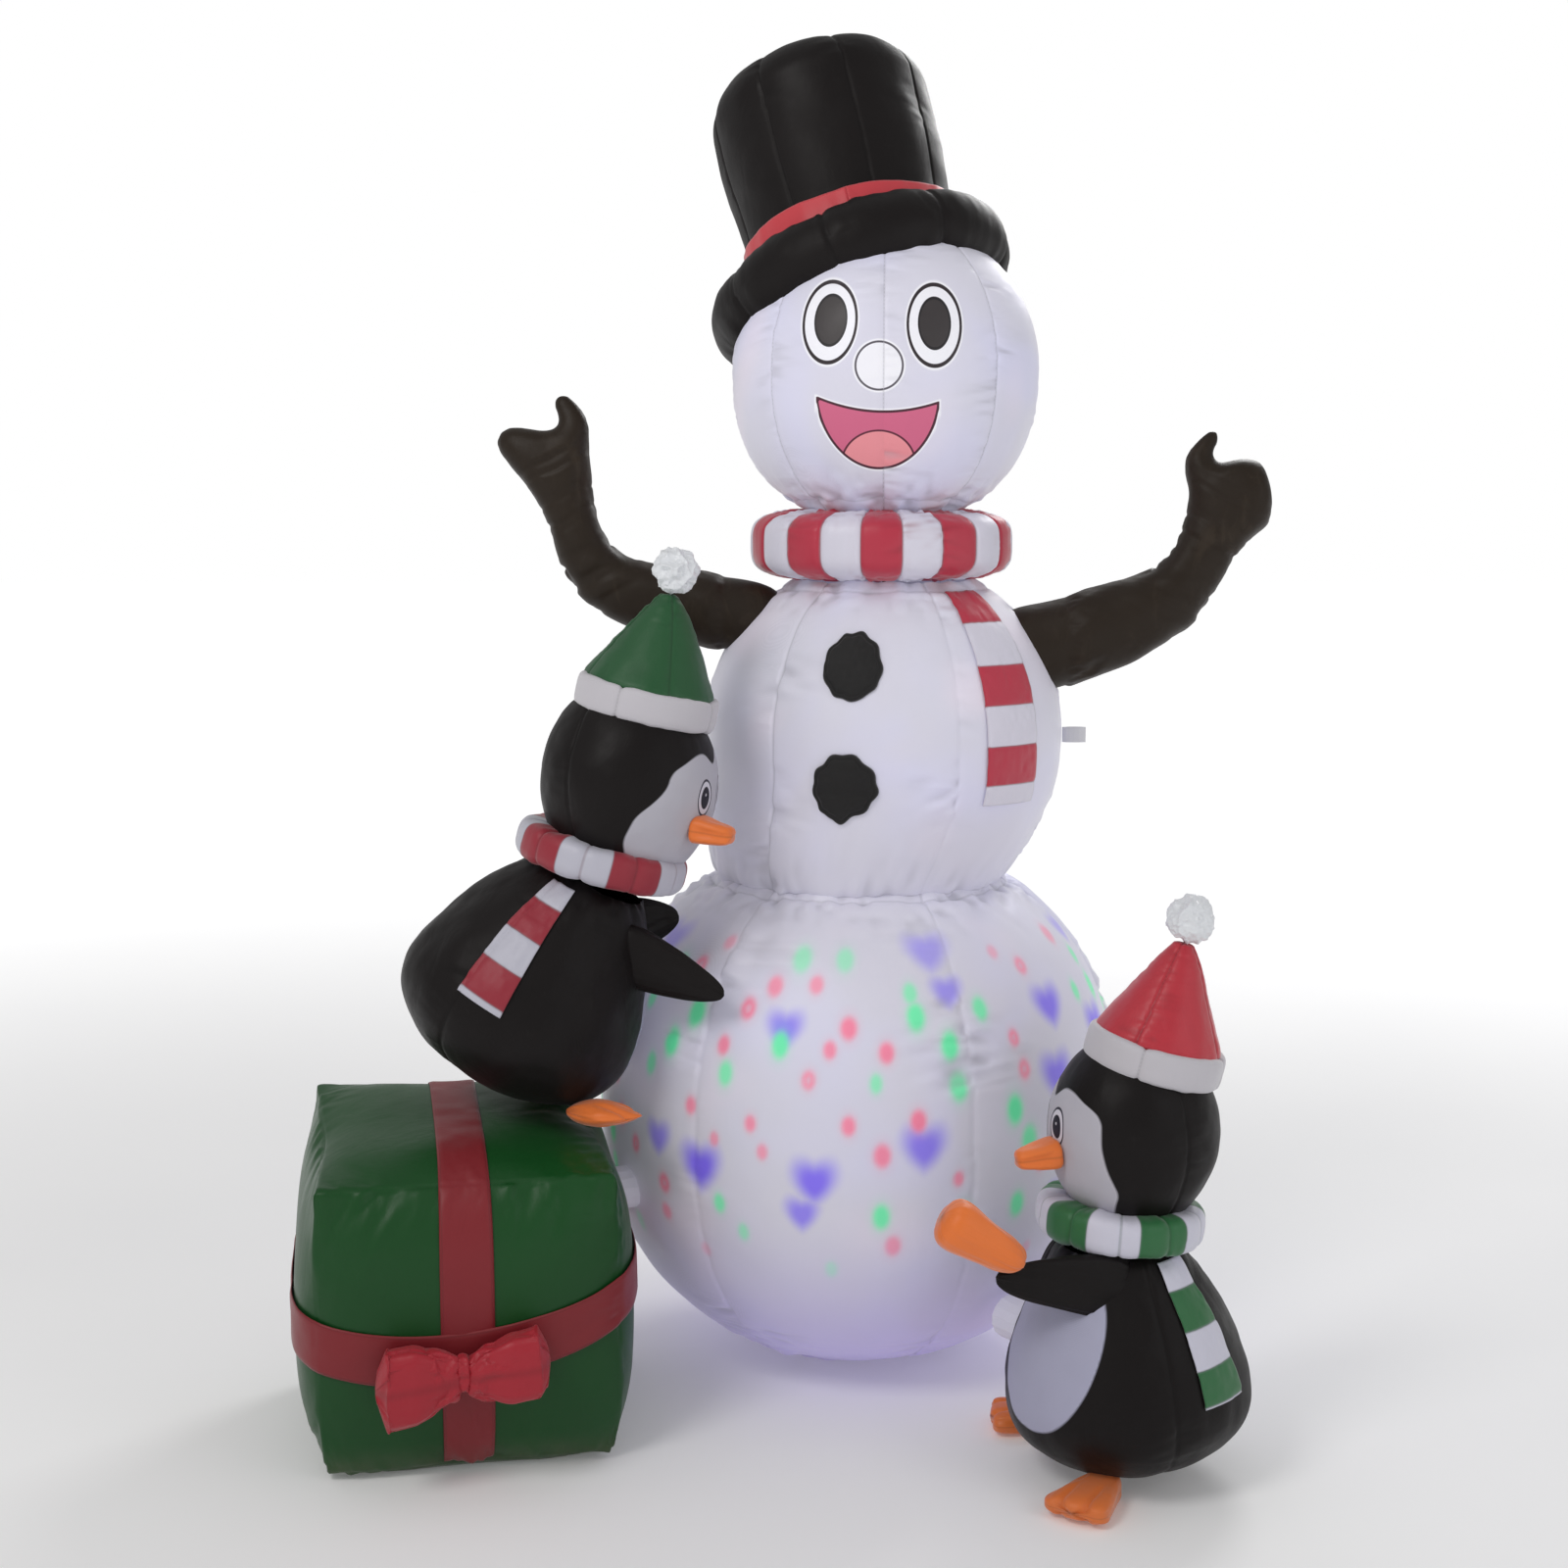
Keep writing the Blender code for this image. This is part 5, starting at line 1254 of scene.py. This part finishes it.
def make_penguin_head(bird):
    radius, tall = bird.head_radius, 1.16 * bird.head_radius
    z = np.linspace(-0.93 * radius, 1.05 * radius, 240)
    profile = np.stack([puff(radius, tall, 2.0, z), z], axis=-1)
    middle, eye_turn, eye_level, stops, widths = FACES[bird.name]
    front = bird.front(middle)
    facing = math.atan2(front.x, -front.y)
    head = Chamber(profile, 150, [facing + math.pi, facing + 2.0, facing - 2.0], 61.0 + bird.facing,
                   pucker=0.0035, reach=0.03, sag=0.0025, waves=0.005, wave_size=0.06)
    points, theta, _, seam, r = head.build(330)
    turn = np.abs(np.degrees(wrapped(theta - facing)))
    level = points[..., 2] / radius
    edge = sum(np.interp(level + shift, stops, widths) for shift in (-0.06, -0.03, 0.0, 0.03, 0.06)) / 5
    side = (turn - edge) * math.pi / 180 * r * 0.85
    brow = (level - (stops[-1] + 0.04 - 0.14 * np.exp(-(turn / 8.0) ** 2))) * radius
    blend = 0.012
    pale = blend * np.log(np.exp(np.clip(side / blend, -40, 40)) + np.exp(np.clip(brow / blend, -40, 40)))
    up = level * radius
    eye_off = (turn - eye_turn) * math.pi / 180 * r
    eye = (np.hypot(eye_off / 0.0215, (up - eye_level * radius) / 0.0300) - 1) * 0.0215
    glint = np.hypot((eye_off + 0.001) / 0.8, up - eye_level * radius - 0.005) - 0.0026
    place = Matrix.Translation(bird.head)
    seam = np.maximum(seam * np.where(pale < 0.004, 0.0, 1.0), np.exp(-(pale / 0.0018) ** 2) * 0.6)
    cloth = grid(bird.name + "_head_cloth", moved(points, place), BIRD_HEAD.material, True, False, False,
                 {"seam": seam, "pale": pale, "eye": eye, "glint": glint, "crease": head.crease})
    trimmed(cloth, bird.hat_frame(), -0.005)
    place_piece(cloth, [bird.name + "_head"])


def make_beak(bird, drop):
    t = np.linspace(0, 1, 40)
    cap = np.sqrt(np.clip(1 - (2 * t - 1) ** 12, 0, 1))
    taper = 1 - 0.46 * t ** 1.4

    def lips(points, along, turn):
        groove = np.exp(-((wrapped(turn) / 0.30) ** 2)) + np.exp(-((wrapped(turn - math.pi) / 0.30) ** 2))
        points = points.copy()
        points[..., 1] *= 1 - 0.16 * groove * smooth_step(0.05, 0.4, along)
        return points
    out = float(puff(bird.head_radius, 1.16 * bird.head_radius, 2.0, drop)) - 0.006
    place = Matrix.Translation(bird.head + bird.front() * out + Vector((0, 0, drop)))
    place = place @ Matrix.Rotation(bird.facing, 4, "Z") @ Matrix.Rotation(math.radians(7), 4, "Y")
    beak = loft(bird.name + "_beak_cloth", place, ORANGE.material, 0.076 * t, 0.031 * taper * cap,
                0.025 * taper * cap, 0.0 * t, 3.0, 90, 0.0034 + 0.0 * t, 3.0, 3.0, 0.0016, lips)
    place_piece(beak, [bird.name + "_beak"])


def make_flipper(bird, name, turn, t, aim, length):
    direction = bird.front(turn)
    place = bird.body_frame()
    local = place.to_3x3().inverted() @ direction
    local.z = 0
    local.normalize()
    root = place @ (local * (float(bird.body_line(np.array(t))) - 0.016) + Vector((0, 0, bird.length * t)))
    base = aligned(root, Vector(aim).normalized(), Vector((0, 0, 1)))
    base = base @ Matrix(((0, 0, -1, 0), (0, 1, 0, 0), (1, 0, 0, 0), (0, 0, 0, 1)))
    share = np.linspace(0, 1, 70)
    cap = np.sqrt(np.clip(1 - (2 * share - 1) ** 10, 0, 1))
    leaf = (1.04 - 0.10 * share - 0.66 * share ** 2.2) * cap
    flat = (0.72 + 0.5 * np.sin(math.pi * np.minimum(1, share + 0.2))) * (1 - 0.45 * share) * cap
    ridges = 0.004 + 0.006 * np.exp(-share / 0.2)
    wing = loft(bird.name + name + "_cloth", base, BIRD_BODY.material, -0.034 + (length + 0.044) * share,
                0.053 * leaf, 0.0185 * flat, -0.006 * np.sin(math.pi * share), 2.1, 110, ridges, 9.0 + turn,
                6.0)
    for key in ("pale", "eye", "glint"):
        add_field(wing.data, key, np.ones(len(wing.data.vertices)))
    crumple(wing, 0.05, 0.8, 0.004)
    place_piece(wing, [bird.name + name])


def make_foot(bird, name, x, y, z, turn):
    """A stuffed foot: a creased pointed oval for the sitting penguin, a block for the standing one."""
    t = np.linspace(0, 1, 70)
    if bird is SITTING:
        cap = np.clip(1 - np.abs(2 * t - 1) ** 1.7, 0, 1) ** 0.8
        wide, tall, power = (0.85 + 0.35 * t) * cap, (1.30 - 0.45 * t) * cap, 1.7
    else:
        cap = np.sqrt(np.clip(1 - (2 * t - 1) ** 12, 0, 1))
        wide, tall, power = (0.66 + 0.52 * smooth_step(0.0, 0.9, t)) * cap, (1.42 - 0.62 * t) * cap, 3.2

    def creased(points, along, turn):
        points = points.copy()
        side = points[..., 1] / 0.050
        for middle, depth in ((-0.42, 0.0045), (0.36, 0.0055)):
            line = side - middle - 0.25 * (along - 0.5) * middle
            points[..., 2] -= depth * np.exp(-(line / 0.10) ** 2) * smooth_step(0.30, 0.75, along) * \
                (points[..., 2] > 0)
            points[..., 0] -= 1.6 * depth * np.exp(-(line / 0.16) ** 2) * smooth_step(0.75, 1.0, along)
        points[..., 2] = np.maximum(points[..., 2] + 0.0200, 0.0012)
        return points
    place = Matrix.Translation((x, y, z)) @ Matrix.Rotation(math.radians(turn), 4, "Z")
    foot = loft(bird.name + name + "_cloth", place, ORANGE.material, -0.066 + 0.136 * t, 0.046 * wide,
                0.0200 * tall, 0.0 * t, power, 150, 0.0075 + 0.0 * t, turn * 0.1, 3.5, 0.0018, creased)
    place_piece(foot, [bird.name + name])


def make_penguin_hat(bird, colour, cuff_colour):
    place = bird.hat_frame()
    radius = 0.68 * bird.head_radius
    cuff = roll_ring(bird.name + "_hat_cuff_cloth", place, radius + 0.003, 0.0165, 1.75, cuff_colour, 4,
                     71.0,
                     330, 60, None, 0.0022, 0.0012, 4.0)
    place_piece(cuff, [bird.name + "_hat_cuff"])
    top = 0.197
    profile = [(radius - 0.001, 0.010), (radius + 0.010, 0.026)]
    for rise in np.linspace(0.034, 0.190, 14):
        profile.append((0.018 + (radius - 0.010) * ((0.190 - rise) / 0.156) ** 0.90, rise))
    profile.append((0.003, top))
    cone = Chamber(profile, 110, spread(20.0 if bird is SITTING else 60.0, 4), 75.0 + bird.facing, low=0.004,
                   pucker=0.0060, reach=0.03, sag=0.0012, waves=0.004, wave_size=0.06)
    points, _, _, seam, _ = cone.build(260)
    hat = grid(bird.name + "_hat_cone_cloth", moved(points, place), colour, True, False, True,
               {"seam": seam, "crease": cone.crease})
    place_piece(hat, [bird.name + "_hat_cone"])


def make_pompom(bird, tinsel):
    """A crinkled ball of bright cloth: deep folds that run to its gathered foot."""
    middle = bird.hat_frame() @ Vector((0, 0, 0.198 + 0.0325))
    theta, phi = np.meshgrid(np.arange(220) * 2 * math.pi / 220, np.linspace(0.05, math.pi - 0.05, 110))
    x, y, z = np.sin(phi) * np.cos(theta), np.sin(phi) * np.sin(theta), -np.cos(phi)
    seed = 3.0 if bird is SITTING else 8.0
    cells = 1 - np.abs(2 * noise(x * 2.1 + seed, y * 2.1, z * 2.1) - 1)
    folds = 1 - np.abs(2 * noise(x * 4.6 + seed, y * 4.6, z * 4.6) - 1)
    fine = noise(x * 12, y * 12 + seed, z * 12)
    radius = 0.0285 + 0.0095 * cells + 0.0040 * folds + 0.0010 * fine
    points = np.stack([x, y, z], axis=-1) * radius[..., None]
    # The seam field darkens the valleys between the puffs: painted shade in the folds.
    ball = grid(bird.name + "_pompom_tinsel", points + np.array(middle), tinsel, True, True, True,
                {"seam": smooth_step(0.40, 0.15, cells) * 0.4})
    place_piece(ball, [bird.name + "_pompom"])


def make_scarf(bird, body, ring, material, tail_turn, tail_from, tail_to, edges, first):
    place = bird.scarf_frame()
    ring_piece = roll_ring(bird.name + "_scarf_ring_cloth", place, ring, SCARF_TUBE, 1.0, material, 10, 81.0,
                           330, 60, lambda theta, r: ring_stripes(theta, r, first, 10), 0.006, 0.0020, 3.0)
    place_piece(ring_piece, [bird.name + "_scarf_ring"])
    across, down = np.meshgrid(np.linspace(-1, 1, 30), np.linspace(0, 1, 90))
    share = tail_from + (tail_to - tail_from) * down
    theta = np.zeros_like(across)
    for j in range(across.shape[0]):
        v = 1 - down[j, 0]
        low, high = (bird.local_turn(tail_turn + side * 13.5 - 4 * v) for side in (-1, 1))
        theta[j] = low + wrapped(high - low) * (across[j] + 1) / 2
    length = (tail_from - tail_to) * bird.length
    stripe = -bands(down, edges, length)
    near = np.abs(stripe)
    quilt = 0.0014 * (noise(across * 4, down * 18, 5.0) - 0.5)
    local = body.at(theta, share * bird.length, 0.0030 + quilt - 0.0012 * np.exp(-near / 0.004))
    seam = np.exp(-(near / 0.0016) ** 2) + smooth_step(0.92, 0.96, np.abs(across)) * 0.5
    points = moved(local, bird.body_frame())
    flip = np.cross(points[45, 16] - points[45, 15], points[46, 15] - points[45, 15]) @ \
        (points[45, 15] - np.array((bird.foot + bird.neck) / 2))
    fields = {"stripe": stripe, "seam": seam}
    if flip < 0:
        points = points[::-1]
        fields = {key: value[::-1] for key, value in fields.items()}
    flat_piece(bird.name + "_scarf_tail_cloth", bird.name + "_scarf_tail", points, material,
               fields)


def make_carrot():
    fat, thin = Vector((0.105, -0.790, 0.492)), Vector((0.236, -0.775, 0.408))
    place = aligned(fat, thin - fat) @ Matrix(((0, 1, 0, 0), (0, 0, 1, 0), (1, 0, 0, 0), (0, 0, 0, 1)))
    t = np.linspace(0, 1, 70)
    cap = np.sqrt(np.clip(1 - (2 * t - 1) ** 6, 0, 1))
    half = (0.0470 - 0.0235 * t) * cap
    carrot = loft("p2_carrot_cloth", place, ORANGE.material, (thin - fat).length * t, half, half, 0.0 * t,
                  2.0,
                  110, 0.0045 + 0.0 * t, 4.0, 6.0)
    place_piece(carrot, ["p2_carrot"])


def make_penguins():
    cuff = nylon("cuff_cloth", (0.56, 0.54, 0.58), 0.55, 0.5, 0.08, 0.0010, 0.0, None, 0.3, 0.0).material
    green = nylon("green_hat_nylon", (0.012, 0.086, 0.026), 0.42, 0.08, 0.16, 0.0018, 0.0, None, 0.4,
                  0.0).material
    red = nylon("red_hat_nylon", (0.50, 0.028, 0.045), 0.40, 0.25, 0.12, 0.0018, 0.02, None, 0.4,
                0.0).material
    tinsel = nylon("silver_tinsel", (0.74, 0.76, 0.79), 0.30, 0.3, 0.10, 0.0016, 0.03, None, 0.5, 0.0,
                   0.0, 0.3)
    for bird, hat in ((SITTING, green), (STANDING, red)):
        make_penguin_hat(bird, hat, cuff)
        make_pompom(bird, tinsel.material)
    make_penguin_head(SITTING)
    make_penguin_head(STANDING)
    make_beak(SITTING, -0.072)
    make_beak(STANDING, -0.026)
    sitting, standing = make_penguin_body(SITTING), make_penguin_body(STANDING)
    make_scarf(SITTING, sitting, 0.118, STRIPED_DARK, -80, 0.95, 0.40,
               (0.17, 0.43, 0.68, 0.95), 10.0)
    make_scarf(STANDING, standing, 0.105, STRIPED_GREEN, 117, 0.96, 0.39,
               (0.19, 0.46, 0.73, 0.985), 5.0)
    make_flipper(SITTING, "_flipper_near", 2, 0.80, (0.90, -0.16, -0.34), 0.170)
    make_flipper(SITTING, "_flipper_far", 62, 0.84, (0.80, 0.30, 0.12), 0.080)
    make_flipper(STANDING, "_flipper_near", 56, 0.89, (-0.95, -0.30, 0.17), 0.190)
    make_flipper(STANDING, "_flipper_far", -74, 0.78, (-0.35, 0.50, -0.80), 0.110)
    make_foot(SITTING, "_foot_near", -0.448, -0.458, 0.545, -14)
    make_foot(SITTING, "_foot_far", -0.560, -0.118, 0.584, 40)
    make_foot(STANDING, "_foot_near", 0.350, -0.764, 0.0, 236)
    make_foot(STANDING, "_foot_far", 0.288, -0.440, 0.0, 176)


# ---- CAD nodes that keep their shape ----
def make_hard_parts():
    plastic = hard("black_moulded_plastic", (0.020, 0.020, 0.022), 0.42, 0.0, 260.0, 0.00010)
    steel = hard("motor_steel_plate", (0.50, 0.50, 0.52), 0.34, 1.0, 140.0, 0.00005)
    rubber = hard("black_rubber", (0.018, 0.018, 0.018), 0.75, 0.0, 220.0, 0.00012)
    lens = hard("clear_lens", (0.80, 0.84, 0.90), 0.12, 0.0, 90.0, 0.00004, Transmission_Weight=0.85,
                IOR=1.49)
    zinc = hard("zip_zinc", (0.60, 0.60, 0.62), 0.30, 1.0, 300.0, 0.00006)
    web = nylon("white_webbing", (0.72, 0.72, 0.76), 0.70, 0.4, 0.08, 0.0006, 0.0, None, 0.3, 0.2).material
    white = nylon("white_duct_nylon", WHITE, 0.46, 0.2, 0.06, 0.0018, 0.10, None, 0.3, 0.4).material
    finishes = {plastic: ("blower_grille", "blower_housing", "blower_impeller", "lamp_base"),
                steel: ("blower_motor",), rubber: ("cord_gland", "led_harness"),
                lens: ("lamp_dome", "led_head", "led_torso"), zinc: ("zip_pull", "zip_slider"),
                web: ("tether_tab_right", "zip_tape"), white: ("gift_duct", "penguin_duct", "blower_sleeve")}
    for material, names in finishes.items():
        for name in names:
            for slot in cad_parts[name].material_slots:
                slot.material = material


# ---- camera, floor and light ----
def make_stage():
    scene = bpy.context.scene
    scene.view_settings.view_transform = "Standard"
    eye = bpy.data.cameras.new("camera")
    eye.sensor_width = 36.0
    eye.lens = 51.885
    camera = bpy.data.objects.new("camera", eye)
    camera.location = (-0.14, -4.2, 1.6)
    camera.rotation_euler = (math.radians(90 - 7.168), 0, 0)
    scene.collection.objects.link(camera)
    scene.camera = camera
    reach = 40.0
    mesh = bpy.data.meshes.new("floor")
    mesh.from_pydata([(-reach, -reach, -0.001), (reach, -reach, -0.001), (reach, reach, -0.001),
                      (-reach, reach, -0.001)], [], [(0, 1, 2, 3)])
    # Painted light: the floor gives off light as emission, more the farther it lies from the middle, so it
    # fades to white far away.
    pale = Shader("floor_pale", Roughness=0.75, Emission_Strength=0.10)
    pale.set("Base Color", pale.mix(pale.noise(1.5, 3.0), (0.84, 0.84, 0.85), (0.88, 0.88, 0.885)))
    pale.surface.inputs["Emission Color"].default_value = (1.0, 1.0, 1.0, 1.0)
    nodes, links = pale.material.node_tree.nodes, pale.material.node_tree.links
    spot = nodes.new("ShaderNodeTexCoord")
    far = nodes.new("ShaderNodeVectorMath")
    far.operation = "LENGTH"
    links.new(spot.outputs["Object"], far.inputs[0])
    links.new(pale.between(far.outputs["Value"], 1.4, 6.5, 0.10, 0.62),
              pale.surface.inputs["Emission Strength"])
    link("floor", mesh, pale.material)
    world = bpy.data.worlds.new("studio")
    world.use_nodes = True
    sky = world.node_tree.nodes["Background"]
    sky.inputs[0].default_value = (1.0, 1.0, 1.0, 1.0)
    seen = world.node_tree.nodes.new("ShaderNodeLightPath")
    level = world.node_tree.nodes.new("ShaderNodeMapRange")
    level.inputs["To Min"].default_value = 0.47
    level.inputs["To Max"].default_value = 1.0
    world.node_tree.links.new(seen.outputs["Is Camera Ray"], level.inputs["Value"])
    world.node_tree.links.new(level.outputs[0], sky.inputs[1])
    scene.world = world
    lamps = (("key", (-2.6, -3.6, 4.6), 2.0, 80.0, (1.0, 0.98, 0.96)),
             ("fill", (3.4, -3.2, 2.6), 2.4, 18.0, (0.95, 0.96, 1.0)),
             ("rim", (1.8, 3.6, 3.8), 2.0, 70.0, (1.0, 1.0, 1.0)))
    for name, where, size, power, colour in lamps:
        light = bpy.data.lights.new(name, "AREA")
        light.shape = "DISK"
        light.size = size
        light.energy = power
        light.color = colour
        lamp = bpy.data.objects.new(name, light)
        lamp.location = where
        lamp.rotation_euler = (Vector((0, 0, 1.1)) - Vector(where)).to_track_quat("-Z", "Y").to_euler()
        scene.collection.objects.link(lamp)


make_stage()
make_balls()
make_head()
make_collar()
make_scarf_tail()
make_hat()
make_arms()
make_buttons()
make_gift()
make_ribbons()
make_bow()
make_penguins()
make_carrot()
make_hard_parts()

bpy.context.view_layer.update()
